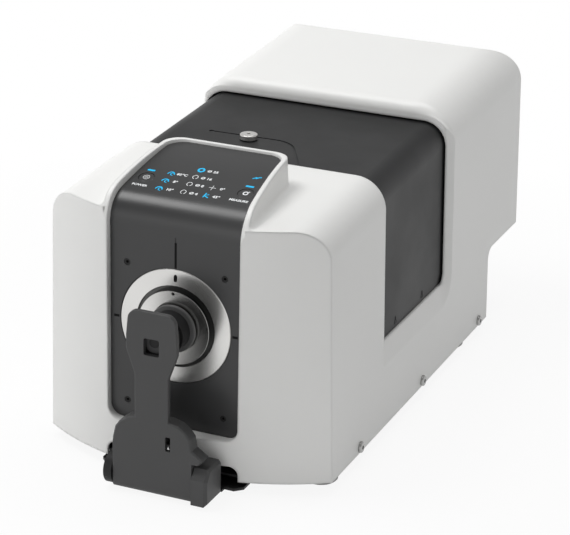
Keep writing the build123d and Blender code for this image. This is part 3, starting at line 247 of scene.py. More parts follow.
def build_grain():
    """Spark-eroded grain of moulded plastic and powder coat, with softened edges."""
    group, given, result = new_group(
        "moulded_grain",
        {"Scale": 900.0, "Depth": 0.12, "Edge": 0.0006,
         "Roughness Low": 0.4, "Roughness High": 0.5},
        ("Normal", "Roughness", "Mottle"),
    )
    place = surface_place(group)
    fine = noise(group, place, given["Scale"], detail=2.0, roughness=0.6)
    broad = noise(group, place, mottle_scale, detail=4.0, roughness=0.55)
    edge = group.nodes.new("ShaderNodeBevel")
    edge.samples = edge_samples
    feed(group, edge.inputs["Radius"], given["Edge"])
    normal = bumped(group, fine, grain_relief, given["Depth"], edge.outputs["Normal"])
    roughness = ranged(
        group, broad, 0.3, 0.7, given["Roughness Low"], given["Roughness High"]
    )
    for label, value in (("Normal", normal), ("Roughness", roughness), ("Mottle", broad)):
        feed(group, result[label], value)
    return group


def build_rubbed():
    """Mask of handling marks: faint long scuffs with soft ends."""
    group, given, result = new_group("rubbed_marks", {"Scale": 30.0, "Amount": 0.5}, ("Mask",))
    place = surface_place(group)
    stretch = group.nodes.new("ShaderNodeMapping")
    for label, value in (
        ("Vector", place), ("Rotation", (0.4, 0.2, 0.7)), ("Scale", (1.0, 7.0, 1.6)),
    ):
        feed(group, stretch.inputs[label], value)
    stretched = stretch.outputs["Vector"]
    streak = noise(group, stretched, given["Scale"], detail=5.0, roughness=0.6)
    patch = noise(group, place, scuff_patch_scale, detail=2.0, roughness=0.5)
    sharp = ranged(group, streak, 0.58, 0.74, 0.0, 1.0)
    zone = ranged(group, patch, 0.5, 0.7, 0.0, 1.0)
    both = number(group, "MULTIPLY", sharp, zone)
    feed(group, result["Mask"], number(group, "MULTIPLY", both, given["Amount"]))
    return group


def build_turned():
    """Fine concentric tool marks about an axis along the instrument."""
    group, given, result = new_group(
        "turned_marks",
        {"Centre Height": 0.1297, "Pitch": 2600.0, "Depth": 0.08},
        ("Normal", "Roughness"),
    )
    split = group.nodes.new("ShaderNodeSeparateXYZ")
    feed(group, split.inputs[0], surface_place(group))
    flat = group.nodes.new("ShaderNodeCombineXYZ")
    feed(group, flat.inputs["X"], split.outputs["X"])
    rise = number(group, "SUBTRACT", split.outputs["Z"], given["Centre Height"])
    feed(group, flat.inputs["Y"], rise)
    reach = distance(group, flat.outputs[0])
    line = group.nodes.new("ShaderNodeCombineXYZ")
    feed(group, line.inputs["X"], number(group, "MULTIPLY", reach, given["Pitch"]))
    groove = noise(group, line.outputs[0], 1.0, detail=3.0, roughness=0.7)
    feed(group, result["Normal"], bumped(group, groove, turned_relief, given["Depth"]))
    feed(group, result["Roughness"], ranged(group, groove, 0.3, 0.7, 0.2, 0.26))
    return group


def effect(material, name, **values):
    """Places a shared effect in a material with its own values."""
    node = material.node_tree.nodes.new("ShaderNodeGroup")
    node.node_tree = effects[name]
    for key, value in values.items():
        node.inputs[key.replace("_", " ").title()].default_value = value
    return node


# ---------------------------------------------------------------------------
# Finishes
# ---------------------------------------------------------------------------

scuff_scale = 34.0
scuff_tone = 1.6


def new_material(name, base, roughness=0.5, metallic=0.0, specular=0.5):
    """Material with plain values on its Principled shader; returns both."""
    material = bpy.data.materials.new(name)
    material.use_nodes = True
    shader = material.node_tree.nodes["Principled BSDF"]
    shader.inputs["Base Color"].default_value = (*base, 1.0)
    shader.inputs["Roughness"].default_value = roughness
    shader.inputs["Metallic"].default_value = metallic
    shader.inputs["Specular IOR Level"].default_value = specular
    return material, shader


def lighter(base, amount):
    """Colour with every channel multiplied, darker where the amount is under one."""
    return tuple(min(1.0, channel * amount) for channel in base)


def joined(material, effect_node, shader, *labels):
    """Links outputs of an effect to the shader's sockets of the same names."""
    for label in labels:
        material.node_tree.links.new(effect_node.outputs[label], shader.inputs[label])


def moulded(name, base, scale=900.0, depth=0.12, edge=0.0006, low=0.4, high=0.5, mottle=1.06,
            rubbed=0.0, specular=0.5):
    """Moulded plastic or powder coat: grain, mottle, softened edges and faint scuffs."""
    material, shader = new_material(name, base, specular=specular)
    tree = material.node_tree
    grain = effect(material, "moulded_grain", scale=scale, depth=depth, edge=edge,
                   roughness_low=low, roughness_high=high)
    joined(material, grain, shader, "Normal", "Roughness")
    tone = tinted(
        tree, grain.outputs["Mottle"], lighter(base, 2 - mottle), lighter(base, mottle)
    )
    if rubbed:
        marks = effect(material, "rubbed_marks", scale=scuff_scale, amount=rubbed)
        tone = tinted(tree, marks.outputs["Mask"], tone, lighter(base, scuff_tone))
    tree.links.new(tone, shader.inputs["Base Color"])
    return material


def bare_metal(name, base, scale, depth, edge, low, high):
    """Uncoated metal with a fine grain and softened edges."""
    material, shader = new_material(name, base, metallic=1.0)
    grain = effect(material, "moulded_grain", scale=scale, depth=depth, edge=edge,
                   roughness_low=low, roughness_high=high)
    joined(material, grain, shader, "Normal", "Roughness")
    return material


def printed(name, base, glow=0.0, specular=0.5):
    """Printing ink with a slightly uneven film, and an optional glow that is painted light."""
    material, shader = new_material(name, base, specular=specular)
    grain = effect(material, "moulded_grain", scale=1500.0, depth=0.05, edge=0.0,
                   roughness_low=0.4, roughness_high=0.55)
    joined(material, grain, shader, "Roughness")
    tree = material.node_tree
    tone = tinted(tree, grain.outputs["Mottle"], lighter(base, 0.94), lighter(base, 1.05))
    tree.links.new(tone, shader.inputs["Base Color"])
    # Painted light: the ink is made to glow, though it is no lamp.
    if glow:
        tree.links.new(tone, shader.inputs["Emission Color"])
        shader.inputs["Emission Strength"].default_value = glow
    return material


def dress(material, *names):
    """Gives the frame's nodes of these names the material."""
    for name in names:
        slots = nodes[name].material_slots
        if not slots:
            nodes[name].data.materials.append(material)
        for slot in slots:
            slot.material = material


# ---------------------------------------------------------------------------
# Mesh helpers
# ---------------------------------------------------------------------------

smooth_angle = radians(30.0)


def finish_piece(name, bm, material, body):
    """Makes a piece from a bmesh, which then rides on its body."""
    bmesh.ops.recalc_face_normals(bm, faces=bm.faces)
    mesh = bpy.data.meshes.new(name)
    bm.to_mesh(mesh)
    bm.free()
    mesh.materials.append(material)
    piece = bpy.data.objects.new(name, mesh)
    bpy.context.scene.collection.objects.link(piece)
    mesh.shade_smooth()
    mesh.set_sharp_from_angle(angle=smooth_angle)
    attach(piece, body)


def prism(bm, low, high):
    """Closed prism between two outlines with the same number of points."""
    bottom = [bm.verts.new(p) for p in low]
    top = [bm.verts.new(p) for p in high]
    bm.faces.new(top)
    bm.faces.new(bottom[::-1])
    count = len(low)
    for i in range(count):
        j = (i + 1) % count
        bm.faces.new((bottom[i], bottom[j], top[j], top[i]))


def band(bm, inner, outer, place, low, high, closed):
    """Closed flat band between two lines of points on a surface."""
    rows = []
    for line, height in ((inner, low), (outer, low), (outer, high), (inner, high)):
        rows.append([bm.verts.new(place(u, v, height)) for u, v in line])
    count = len(inner)
    steps = count if closed else count - 1
    for i in range(steps):
        j = (i + 1) % count
        for a, b in ((0, 1), (1, 2), (2, 3), (3, 0)):
            bm.faces.new((rows[a][i], rows[a][j], rows[b][j], rows[b][i]))
    if not closed:
        bm.faces.new([rows[k][0] for k in range(4)])
        bm.faces.new([rows[k][-1] for k in (3, 2, 1, 0)])


def turned_ring(bm, profile, height, steps=96):
    """Ring turned about the port axis from a closed profile of (radius, station)."""
    rows = []
    for i in range(steps):
        angle = 2 * pi * i / steps
        rows.append([
            bm.verts.new((reach * cos(angle), at(station), height + reach * sin(angle)))
            for reach, station in profile
        ])
    count = len(profile)
    for i in range(steps):
        here, there = rows[i], rows[(i + 1) % steps]
        for j in range(count):
            k = (j + 1) % count
            bm.faces.new((here[j], here[k], there[k], there[j]))


def crown_spot(u, v, lift):
    """Point on the crowned key panel: u across, v the station, lift square to the face."""
    sizes = bpy.context.scene.panel_sizes
    turn = pi / 2 - sizes.slope
    start_y = sizes.face + sizes.bend_radius - sizes.bend_radius * cos(turn)
    start_z = sizes.bend_z + sizes.bend_radius * sin(turn)
    centre_y = start_y + sizes.crown_radius * sin(sizes.slope)
    centre_z = start_z - sizes.crown_radius * cos(sizes.slope)
    reach = v - centre_y
    rise = sqrt(sizes.crown_radius ** 2 - reach ** 2)
    grow = 1 + lift / sizes.crown_radius
    return Vector((u, at(centre_y + reach * grow), centre_z + rise * grow))


def upright_face(station, height=0.0):
    """Surface square to the instrument at a station: u across, v up from the height."""
    def spot(u, v, lift):
        return Vector((u, at(station - lift), height + v))
    return spot


def offset_line(points, width, closed):
    """Two lines either side of a line of points."""
    left, right = [], []
    count = len(points)
    for i, (u, v) in enumerate(points):
        before = points[i - 1] if closed or i else points[i]
        after = points[(i + 1) % count] if closed or i < count - 1 else points[i]
        du, dv = after[0] - before[0], after[1] - before[1]
        size = hypot(du, dv) or 1.0
        nu, nv = -dv / size * width / 2, du / size * width / 2
        left.append((u + nu, v + nv))
        right.append((u - nu, v - nv))
    return left, right


class Print:
    """Thin printed marks laid on a surface, gathered into one mesh."""

    # The underside of a mark lies in the surface, so that no gap shows.
    sink = -0.00008
    # Degrees of an arc to each of its sides, and the fewest sides of an arc.
    arc_step, arc_least = 12, 8
    disc_sides = 28
    corner_points = 5
    # Type size and added stroke as shares of the figures' height, and the spread across.
    letter_size, letter_weight, letter_spread = 1.4, 0.045, 1.08
    weld = 1e-6

    def __init__(self, place):
        self.bm = bmesh.new()
        self.place = place
        self.low = self.sink
        self.high = bpy.context.scene.panel_sizes.print_lift

    def line(self, points, width, closed=False):
        """Line of an even width through the points."""
        left, right = offset_line(points, width, closed)
        band(self.bm, left, right, self.place, self.low, self.high, closed)

    def area(self, points):
        """Filled outline."""
        prism(
            self.bm,
            [self.place(u, v, self.low) for u, v in points],
            [self.place(u, v, self.high) for u, v in points],
        )

    def arc(self, u, v, radius, width, start=0.0, turn=360.0, squeeze=1.0):
        """Arc or ring about a spot, with its angles in degrees."""
        closed = abs(turn) >= 360
        steps = max(self.arc_least, int(abs(turn) / self.arc_step))
        angles = [
            radians(start + turn * i / steps) for i in range(steps if closed else steps + 1)
        ]
        self.line(
            [(u + radius * cos(a), v + radius * squeeze * sin(a)) for a in angles],
            width, closed,
        )

    def disc(self, u, v, radius):
        """Filled circle."""
        angles = [2 * pi * i / self.disc_sides for i in range(self.disc_sides)]
        self.area([(u + radius * cos(a), v + radius * sin(a)) for a in angles])

    def bar(self, u, v, wide, deep, corner=0.0):
        """Bar with rounded corners."""
        corner = min(corner, wide / 2, deep / 2)
        step = 90 / (self.corner_points - 1)
        points = []
        for cu, cv, start in ((1, 1, 0), (-1, 1, 90), (-1, -1, 180), (1, -1, 270)):
            for i in range(self.corner_points if corner else 1):
                angle = radians(start + step * i)
                points.append((
                    u + cu * (wide / 2 - corner) + corner * cos(angle),
                    v + cv * (deep / 2 - corner) + corner * sin(angle),
                ))
        self.area(points)

    def figures(self, text, u, v, height):
        """Plain figures, centred on a spot."""
        curve = bpy.data.curves.new("figures", "FONT")
        curve.body = text
        curve.size = height * self.letter_size
        curve.align_x = "CENTER"
        curve.align_y = "CENTER"
        curve.extrude = 0.5
        curve.offset = height * self.letter_weight
        curve.resolution_u = 3
        holder = bpy.data.objects.new("figures", curve)
        bpy.context.scene.collection.objects.link(holder)
        bpy.context.view_layer.update()
        mesh = bpy.data.meshes.new_from_object(holder)
        bpy.data.objects.remove(holder)
        part = bmesh.new()
        part.from_mesh(mesh)
        bmesh.ops.remove_doubles(part, verts=part.verts, dist=self.weld)
        for vert in part.verts:
            lift = self.high if vert.co.z > 0 else self.low
            vert.co = self.place(u + vert.co.x * self.letter_spread, v + vert.co.y, lift)
        part.to_mesh(mesh)
        part.free()
        self.bm.from_mesh(mesh)
        bpy.data.meshes.remove(mesh)
        bpy.data.curves.remove(curve)

    def done(self, name, material, body):
        """Makes the piece that holds the marks."""
        finish_piece(name, self.bm, material, body)


# ---------------------------------------------------------------------------
# Studio
# ---------------------------------------------------------------------------

middle = (0, -0.1, 0.15)

# Name, place, what it is aimed at, width of the disc in metres and power in watts.
lamps = (
    ("overhead", (-0.66, -0.34, 1.68), (0, -0.05, 0.15), 0.8, 12.0),
    ("front", (-0.15, -2.4, 0.7), middle, 1.4, 5.6),
    ("left_high", (-1.8, 0.1, 1.1), middle, 0.9, 2.2),
    ("left", (-2.0, -0.9, 0.3), (0, -0.2, 0.13), 1.0, 4.0),
    ("overhead_rear", (0.1, 0.35, 1.8), (0, 0.05, 0.15), 1.0, 8.5),
)
white = (1.0, 1.0, 1.0)
ambient_strength = 0.31
# Between these heights of the sky, gloss stops seeing the white background.
wall_low, wall_high = 0.25, 0.6
# Between these distances from the middle, the floor goes from near white to white.
pale_near, pale_far, pale_share = 0.33, 0.65, 0.9
floor_reach = 6


def seen_background(tree, wall=None):
    """Mask of the rays that see the white background: camera, glossy and through glass."""
    rays = tree.nodes.new("ShaderNodeLightPath").outputs
    glossy = rays["Is Glossy Ray"]
    if wall is not None:
        glossy = number(tree, "MULTIPLY", glossy, wall)
    seen = number(tree, "MAXIMUM", rays["Is Camera Ray"], glossy)
    return number(tree, "MAXIMUM", seen, rays["Is Transmission Ray"])


def set_camera(scene):
    """Camera with the place, angle and lens fitted to the photograph."""
    camera = bpy.data.cameras.new("camera")
    camera.sensor_width = 36.0
    camera.lens = 141.22
    camera.clip_end = 20.0
    holder = bpy.data.objects.new("camera", camera)
    scene.collection.objects.link(holder)
    place = (0.6968, -1.6546, 0.8039)
    azimuth, height, roll = radians(22.91), radians(21.38), radians(1.35)
    back = Vector((sin(azimuth) * cos(height), -cos(azimuth) * cos(height), sin(height)))
    right = (-back).cross(Vector((0, 0, 1))).normalized()
    up = right.cross(-back)
    side = right * cos(roll) + up * sin(roll)
    top = up * cos(roll) - right * sin(roll)
    turn = Matrix((side, top, back)).transposed()
    holder.matrix_world = Matrix.Translation(place) @ turn.to_4x4()
    scene.camera = holder


def light_world(scene):
    """Even light from all round, and a white background that fades upwards in gloss."""
    world = bpy.data.worlds.new("studio")
    scene.world = world
    world.use_nodes = True
    tree = world.node_tree
    ambient = tree.nodes["Background"]
    feed(tree, ambient.inputs["Color"], white)
    ambient.inputs["Strength"].default_value = ambient_strength
    bright = tree.nodes.new("ShaderNodeBackground")
    feed(tree, bright.inputs["Color"], white)
    sky = tree.nodes.new("ShaderNodeSeparateXYZ")
    feed(tree, sky.inputs[0], tree.nodes.new("ShaderNodeTexCoord").outputs["Generated"])
    wall = ranged(tree, sky.outputs["Z"], wall_low, wall_high, 1.0, 0.0)
    shown = mixed(tree, seen_background(tree, wall), ambient.outputs[0], bright.outputs[0])
    feed(tree, tree.nodes["World Output"].inputs["Surface"], shown)


def hang_lamps(scene):
    """Soft round lamps."""
    for name, spot, aim, size, power in lamps:
        lamp = bpy.data.lights.new(name, "AREA")
        lamp.shape = "DISK"
        lamp.size = size
        lamp.energy = power
        stand = bpy.data.objects.new(name, lamp)
        stand.location = spot
        stand.rotation_euler = (Vector(aim) - Vector(spot)).to_track_quat("-Z", "Y").to_euler()
        scene.collection.objects.link(stand)


def lay_floor(scene):
    """Pale floor that is seen a little darker near the instrument, with its shadow."""
    material, shader = new_material("backdrop_paper", scene.finishes.backdrop, 0.9, specular=0.0)
    tree = material.node_tree
    glow = tree.nodes.new("ShaderNodeEmission")
    glow.inputs["Strength"].default_value = 1.0
    reach = distance(tree, surface_place(tree))
    faded = ranged(tree, reach, pale_near, pale_far, pale_share, 1.0)
    share = number(tree, "MULTIPLY", seen_background(tree), faded)
    shown = mixed(tree, share, shader.outputs[0], glow.outputs[0])
    feed(tree, tree.nodes["Material Output"].inputs["Surface"], shown)
    bm = bmesh.new()
    bm.faces.new([
        bm.verts.new((x * floor_reach, y * floor_reach, 0.0))
        for x, y in ((-1, -1), (1, -1), (1, 1), (-1, 1))
    ])
    mesh = bpy.data.meshes.new("floor")
    bm.to_mesh(mesh)
    bm.free()
    mesh.materials.append(material)
    floor = bpy.data.objects.new("floor", mesh)
    scene.collection.objects.link(floor)


class COLORIMETER_OT_studio(bpy.types.Operator):
    """Camera, lamps, floor and backdrop"""

    bl_idname = "colorimeter.studio"
    bl_label = "Studio"

    def execute(self, context):
        set_camera(context.scene)
        context.scene.view_settings.view_transform = "Standard"
        light_world(context.scene)
        hang_lamps(context.scene)
        lay_floor(context.scene)
        return {"FINISHED"}


# ---------------------------------------------------------------------------
# Pieces
# ---------------------------------------------------------------------------

class COLORIMETER_OT_casing(bpy.types.Operator):
    """White moulded casing"""

    bl_idname = "colorimeter.casing"
    bl_label = "Casing"

    def execute(self, context):
        casing = moulded("casing_white", context.scene.finishes.casing, scale=1100.0,
                         depth=0.05, edge=0.0032, low=0.36, high=0.44, mottle=1.015,
                         rubbed=0.05)
        dress(casing, "outer_shell")
        return {"FINISHED"}


# Stations of the three rows of marks on the key panel, and how far across its rings and its
# beam signs stand, in millimetres.
mark_rows = (36, 47, 57.5)
ring_u, beam_u = -5.0, -25.4

# Figures of the key panel: text, place across and station in millimetres. The escapes are
# the degree sign and the diameter sign.
panel_figures = (
    ("10\u00b0", -16.6, 35.6), ("8\u00b0", -17.0, 46.6), ("60\u00b0C", -16.2, 57.3),
    ("\u00d8 4", 3.6, 35.8), ("\u00d8 8", 3.6, 46.8), ("\u00d8 16", 4.4, 57.4),
    ("\u00d8 25", 5.0, 68.2), ("45\u00b0", 22.6, 36.1), ("0\u00b0", 22.8, 47.0),
)
key_words = (("POWER", -42.4, 35.6), ("MEASURE", 41.2, 36.5))
key_word_share = 0.85

# Blue bars over the keys: place across, station, width, depth and corner in millimetres.
indicator_bars = ((-42.7, 57.0, 6.4, 2.0, 0.4), (41.6, 56.7, 6.8, 2.0, 0.4))

# Blue strokes of the key panel: points and width in millimetres.
sign_strokes = (
    (((12.6, 33.4), (13.2, 39.4)), 0.9),
    (((13.2, 35.5), (16.8, 33.6)), 0.9),
    (((12.9, 36.2), (16.2, 37.8)), 0.6),
    (((38.6, 68.0), (41.2, 70.6), (42.0, 69.6)), 1.1),
    (((41.0, 68.6), (43.2, 70.9), (44.9, 71.6)), 1.1),
)

# The keys' faces stand this far under the crown of the panel.
key_step = 0.00022


def print_figures(ink, sizes):
    """White figures, rings and cross of the key panel."""
    marks = Print(crown_spot)
    for row in mark_rows:
        marks.arc(*in_mm(ring_u, row, 2.1, 0.55), start=-60, turn=325, squeeze=1.15)
    cross_u, cross_v = in_mm(14.4, 47.0)
    arm_u, arm_v, stroke = in_mm(2.8, 3.0, 0.45)
    marks.line([(cross_u - arm_u, cross_v), (cross_u + arm_u, cross_v)], stroke)
    marks.line([(cross_u, cross_v - arm_v), (cross_u, cross_v + arm_v)], stroke)
    for words, height in (
        (panel_figures, sizes.figure_height),
        (key_words, key_word_share * sizes.figure_height),
    ):
        for text, u, v in words:
            marks.figures(text, u * mm, v * mm, height)
    marks.done("panel_figures", ink, "instrument")


def print_signs(ink):
    """Blue signs and indicator bars of the key panel."""
    signs = Print(crown_spot)
    for bar in indicator_bars:
        signs.bar(*in_mm(*bar))
    signs.arc(*in_mm(ring_u, 68.3, 2.3, 1.5), squeeze=1.1)
    for row in mark_rows:
        signs.arc(*in_mm(beam_u, row - 1.6, 2.7, 0.9), start=0, turn=180, squeeze=1.2)
        signs.arc(*in_mm(beam_u + 1.3, row - 1.2, 1.6, 0.7), start=40, turn=250)
    for points, width in sign_strokes:
        signs.line([in_mm(*point) for point in points], width * mm)
    signs.done("panel_signs", ink, "instrument")


def print_key_signs(ink, sizes):
    """White signs on the two keys, which go down with them."""
    def key_spot(u, v, lift):
        return crown_spot(u, v, lift - key_step)

    v = sizes.key_at
    power = Print(key_spot)
    power.arc(-sizes.key_x, v, *in_mm(2.6, 0.4))
    power.arc(-sizes.key_x, v, *in_mm(1.25, 0.35), start=120, turn=300)
    power.line([(-sizes.key_x, v + 0.2 * mm), (-sizes.key_x, v + 1.6 * mm)], 0.35 * mm)
    power.done("power_key_sign", ink, "power_key")

    u = sizes.key_x
    measure = Print(key_spot)
    measure.arc(u, v, *in_mm(1.75, 1.0), squeeze=1.1)
    measure.line([(u + 1.3 * mm, v + 1.3 * mm), (u + 2.6 * mm, v + 2.7 * mm)], 0.8 * mm)
    measure.done("measure_key_sign", ink, "measure_key")


def print_ticks(ink, face, axis_height):
    """Dark ticks on either side of the port and the long one above it."""
    ticks = Print(upright_face(face))
    for side in (-1, 1):
        ticks.bar(side * 50.8 * mm, axis_height, wide=4.6 * mm, deep=2.0 * mm)
    ticks.bar(0.0, 188.0 * mm, wide=1.8 * mm, deep=20.8 * mm)
    ticks.done("port_ticks", ink, "instrument")


class COLORIMETER_OT_panel(bpy.types.Operator):
    """Front panel, keys and their printed marks"""

    bl_idname = "colorimeter.panel"
    bl_label = "Front panel"

    def execute(self, context):
        finishes = context.scene.finishes
        sizes = context.scene.panel_sizes
        panel = moulded("panel_dark", finishes.panel, scale=1300.0, depth=0.10, edge=0.0005,
                        low=0.30, high=0.37, mottle=1.05, rubbed=0.12)
        dress(panel, "front_panel", "power_button", "measure_button")
        white_ink = printed("print_white", finishes.print_white)
        # The blue ink glows faintly: painted light on the blue signs and indicator bars.
        blue_ink = printed("print_blue", finishes.print_blue, glow=0.25)
        dark_ink = printed("print_dark", lighter(finishes.panel, 0.1), specular=0.1)
        print_figures(white_ink, sizes)
        print_signs(blue_ink)
        print_key_signs(white_ink, sizes)
        print_ticks(dark_ink, sizes.face, context.scene.port_sizes.height)
        return {"FINISHED"}


# Station of the rim of the target mask, and how far the mask is dished over which width.
mask_station = 0.009
dish_width, dish_depth = 0.012, 0.0013
# Station of the ring's face where its index mark lies.
ring_station = 0.0125
# Painted shade on the mask's side wall and in the gap to the ring's lip: its grey, and how far
# inside the mask's radius it starts and is full.
rim_shade_grey = (0.085, 0.085, 0.083)
rim_start, rim_full = 0.0004, 0.0002


def rim_shade_mask(tree, sizes):
    """One on the side wall of the target mask and in the gap up to the lip, where shade is
    painted, nought elsewhere.
    """
    shift = vector(tree, "SUBTRACT", surface_place(tree), (0.0, 0.0, sizes.height))
    reach = distance(tree, vector(tree, "MULTIPLY", shift, (1.0, 0.0, 1.0)))
    mask, lip = sizes.mask_radius, sizes.lip_radius
    inner = ranged(tree, reach, mask - rim_start, mask - rim_full, 0.0, 1.0)
    outer = ranged(tree, reach, lip - rim_full, lip, 1.0, 0.0)
    return number(tree, "MULTIPLY", inner, outer)


class COLORIMETER_OT_port(bpy.types.Operator):
    """Silver port ring and target mask"""

    bl_idname = "colorimeter.port"
    bl_label = "Port"

    def execute(self, context):
        base = context.scene.finishes.metal
        sizes = context.scene.port_sizes
        metal, shader = new_material("turned_metal", base, metallic=1.0)
        marks = effect(metal, "turned_marks", centre_height=sizes.height, depth=0.012)
        joined(metal, marks, shader, "Normal", "Roughness")
        shader.inputs["Anisotropic"].default_value = 0.85
        tree = metal.node_tree
        shift = vector(tree, "SUBTRACT", surface_place(tree), (0.0, 0.0, sizes.height))
        around = vector(tree, "CROSS_PRODUCT", shift, (0.0, 1.0, 0.0))
        tree.links.new(around, shader.inputs["Tangent"])
        # Painted shade: the mask's side wall and the gap to the lip are tinted dark grey instead
        # of metal.
        tone = tinted(tree, rim_shade_mask(tree, sizes), base, rim_shade_grey)
        tree.links.new(tone, shader.inputs["Base Color"])
        dress(metal, "port_ring", "target_mask")

        def mask_spot(u, v, lift):
            dish = (sizes.mask_radius - hypot(u, v)) / dish_width * dish_depth
            return Vector((u, at(mask_station + dish - lift), sizes.height + v))

        dark = printed("mark_dark", (0.004, 0.004, 0.004), specular=0.1)
        index = Print(upright_face(ring_station, sizes.height))
        index.bar(0.0, 0.0398, wide=0.0028, deep=0.0059, corner=0.0014)
        index.done("ring_index", dark, "instrument")
        dot = Print(mask_spot)
        dot.disc(-0.0004, 0.0281, radius=0.0013)
        dot.done("mask_dot", dark, "mask")
        return {"FINISHED"}


# Outlined wedges on the cover's sides: stations, half width, foot and tip in metres.
wedge_stations = (0.194, 0.258)
wedge_half, wedge_foot, wedge_tip, wedge_stroke = 0.0024, 0.0855, 0.0915, 0.0006


class COLORIMETER_OT_cover(bpy.types.Operator):
    """Sliding cover, its runners and its knob"""

    bl_idname = "colorimeter.cover"
    bl_label = "Cover"

    def execute(self, context):
        finishes = context.scene.finishes
        half_width = context.scene.cover_sizes.side
        cover = moulded("cover_dark", finishes.cover, scale=1200.0, depth=0.09, edge=0.0005,
                        low=0.42, high=0.52, mottle=1.05, rubbed=0.15, specular=0.22)
        dress(cover, "chamber_cover")
        ink = printed("cover_mark_dark", lighter(finishes.cover, 0.3), specular=0.1)
        for name, side in (("cover_marks_right", 1), ("cover_marks_left", -1)):
            marks = Print(
                lambda u, v, lift, side=side: Vector((side * (half_width + lift), at(u), v))
            )
            for station in wedge_stations:
                marks.line([
                    (station - wedge_half, wedge_foot),
                    (station, wedge_tip),
                    (station + wedge_half, wedge_foot),
                ], wedge_stroke, closed=True)
            marks.done(name, ink, "cover")
        runner = moulded("runner_natural", (0.72, 0.72, 0.69), low=0.35, high=0.45)
        dress(runner, "cover_runners")
        knob = bare_metal("knob_metal", (0.62, 0.61, 0.59), scale=1800.0, depth=0.05,
                          edge=0.0003, low=0.24, high=0.36)
        dress(knob, "cover_knob")
        return {"FINISHED"}


# Profile of the skirt round the sample pad: radius and station in millimetres.
skirt_profile = (
    (15.7, 9.1), (18.9, 9.1), (19.5, 8.6), (19.5, 6.9), (18.9, 6.2), (15.7, 5.6),
)

# Tray behind the window of the arm, in metres: half its width, wall, how far its floor and
# its top lie under the port axis, and the stations of its front and its back.
tray_half, tray_wall, tray_floor, tray_top = in_mm(7.6, 1.2, 9.9, 4.6)
tray_front, tray_back = in_mm(-25.2, -14.4)

# White triangle on the catch: the station of its face in metres, its corners across and up
# in millimetres.
catch_station = -0.0278
catch_triangle = ((13.1, 44.8), (15.1, 44.8), (14.1, 47.4))


def window_tray(axis_height, material):
    """Dark tray behind the window of the arm: back, two sides and floor."""
    tray = bmesh.new()
    floor_z, top_z = axis_height - tray_floor, axis_height - tray_top
    front, back = at(tray_front), at(tray_back)
    for left, right, low, high, near in (
        (-tray_half, tray_half, floor_z, top_z, back - tray_wall),
        (-tray_half, tray_wall - tray_half, floor_z, top_z, front),
        (tray_half - tray_wall, tray_half, floor_z, top_z, front),
        (-tray_half, tray_half, floor_z, floor_z + tray_wall, front),
    ):
        corners = ((left, low), (right, low), (right, high), (left, high))
        prism(tray, [(x, near, z) for x, z in corners], [(x, back, z) for x, z in corners])
    finish_piece("window_tray", tray, material, "arm")


class COLORIMETER_OT_arm(bpy.types.Operator):
    """Sample arm, damper, bracket, pad and catch"""

    bl_idname = "colorimeter.arm"
    bl_label = "Sample arm"

    def execute(self, context):
        axis_height = context.scene.port_sizes.height
        coat = moulded("arm_coat", context.scene.finishes.arm, scale=1400.0, depth=0.12,
                       edge=0.0008, low=0.46, high=0.56, mottle=1.06, rubbed=0.2)
        dress(coat, "sample_arm", "hinge_damper")
        black = moulded("bracket_black", (0.010, 0.010, 0.0105), low=0.45, high=0.6,
                        specular=0.3)
        dress(black, "arm_bracket", "arm_catch", "pad_stem")
        rubber = moulded("pad_rubber", (0.014, 0.014, 0.0145), scale=2200.0, depth=0.2,
                         edge=0.0004, low=0.6, high=0.75, specular=0.2)
        dress(rubber, "sample_pad")
        grey = moulded("pad_skirt_grey", (0.075, 0.075, 0.075), scale=1600.0, depth=0.08,
                       edge=0.0003, low=0.4, high=0.5)
        skirt = bmesh.new()
        turned_ring(skirt, [in_mm(*spot) for spot in skirt_profile], axis_height)
        finish_piece("pad_skirt", skirt, grey, "pad")
        window_tray(axis_height, black)
        mark = Print(upright_face(catch_station))
        mark.area([in_mm(*point) for point in catch_triangle])
        mark.done("catch_mark", printed("catch_white", (0.8, 0.8, 0.8)), "catch")
        return {"FINISHED"}


class COLORIMETER_OT_base(bpy.types.Operator):
    """Base plate, feet, screws, fittings and rear sockets, with painted shade in the screw sockets
    """

    bl_idname = "colorimeter.base"
    bl_label = "Base"

    def execute(self, context):
        sheet = bare_metal("plated_sheet", (0.5, 0.51, 0.52), scale=500.0, depth=0.03,
                           edge=0.0003, low=0.28, high=0.42)
        dress(sheet, "connector_plate", "slide_rails", "lid_screws", "sphere_screws",
              "hinge_pin", "deck_posts", "board_spacers")
        coat = moulded("base_coat", (0.022, 0.022, 0.023), scale=700.0, depth=0.15,
                       edge=0.0004, low=0.45, high=0.55)
        dress(coat, "base_plate")
        steel = bare_metal("screw_steel", (0.36, 0.36, 0.355), scale=1600.0, depth=0.05,
                           edge=0.0002, low=0.24, high=0.38)
        dress(steel, "side_screws")
        rubber = moulded("foot_rubber", (0.45, 0.45, 0.44), low=0.55, high=0.7, depth=0.2)
        dress(rubber, "feet")
        black = moulded("screw_black", (0.012, 0.012, 0.012), low=0.4, high=0.5, specular=0.3)
        dress(black, "panel_screws", "power_inlet", "data_socket")

        sizes = context.scene.panel_sizes
        # Painted shade: near-black discs at the bottom of the panel's screw sockets.
        sockets = Print(upright_face(sizes.screw_socket))
        for side in (-1, 1):
            for height in (sizes.screw_low, sizes.screw_high):
                sockets.disc(side * sizes.screw_x, height, radius=0.0012)
        painted_socket_shade = printed("socket_shade_paint", (0.001, 0.001, 0.001), specular=0.05)
        sockets.done("screw_socket_shade_marks", painted_socket_shade, "instrument")
        return {"FINISHED"}


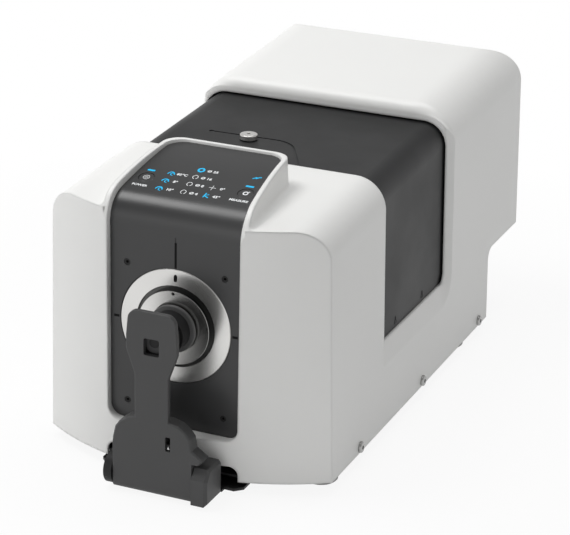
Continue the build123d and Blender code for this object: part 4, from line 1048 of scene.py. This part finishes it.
class COLORIMETER_OT_inside(bpy.types.Operator):
    """Sphere, compartment, spectrometer and boards"""

    bl_idname = "colorimeter.inside"
    bl_label = "Inside"

    def execute(self, context):
        cast = moulded("sphere_paint", (0.62, 0.62, 0.6), scale=400.0, depth=0.25,
                       low=0.5, high=0.6)
        dress(cast, "sphere_front", "sphere_rear", "lamp_housing")
        black = moulded("chamber_black", (0.016, 0.016, 0.017), depth=0.16, low=0.5, high=0.62)
        dress(black, "sphere_cradle", "chamber_deck", "chamber_front_wall", "chamber_rear_wall",
              "spectrometer_box", "spectrometer_lid", "power_supply", "lens_barrel")
        board = moulded("circuit_board", (0.01, 0.09, 0.04), depth=0.08, low=0.3, high=0.45)
        dress(board, "main_board", "key_board")
        glass, shader = new_material("lens_clear", (0.96, 0.98, 1.0), 0.02)
        shader.inputs["Transmission Weight"].default_value = 1.0
        shader.inputs["IOR"].default_value = 1.5
        dress(glass, "lens_glass", "flash_lamp")
        return {"FINISHED"}


# ---------------------------------------------------------------------------
# Sidebar and running
# ---------------------------------------------------------------------------

class COLORIMETER_PT_pieces(bpy.types.Panel):
    """Lists the pieces of the colorimeter"""

    bl_idname = "COLORIMETER_PT_pieces"
    bl_label = "Colorimeter"
    bl_space_type = "VIEW_3D"
    bl_region_type = "UI"
    bl_category = "Colorimeter"

    def draw(self, context):
        for operator in operators:
            self.layout.operator(operator.bl_idname)
        for name, group in groups.items():
            box = self.layout.box()
            for key in group.__annotations__:
                box.prop(getattr(context.scene, name), key)


operators = (
    COLORIMETER_OT_studio,
    COLORIMETER_OT_casing,
    COLORIMETER_OT_panel,
    COLORIMETER_OT_port,
    COLORIMETER_OT_cover,
    COLORIMETER_OT_arm,
    COLORIMETER_OT_base,
    COLORIMETER_OT_inside,
)
groups = {
    "panel_sizes": PanelSizes,
    "port_sizes": PortSizes,
    "cover_sizes": CoverSizes,
    "finishes": Finishes,
}
classes = (*groups.values(), *operators, COLORIMETER_PT_pieces)


def register():
    for item in classes:
        bpy.utils.register_class(item)
    for name, group in groups.items():
        setattr(bpy.types.Scene, name, PointerProperty(type=group))


def unregister():
    for name in groups:
        delattr(bpy.types.Scene, name)
    for item in reversed(classes):
        bpy.utils.unregister_class(item)


def main():
    register()
    effects["moulded_grain"] = build_grain()
    effects["rubbed_marks"] = build_rubbed()
    effects["turned_marks"] = build_turned()
    for piece in ("studio", "casing", "panel", "port", "cover", "arm", "base", "inside"):
        getattr(bpy.ops.colorimeter, piece)()


if __name__ == "__main__":
    main()
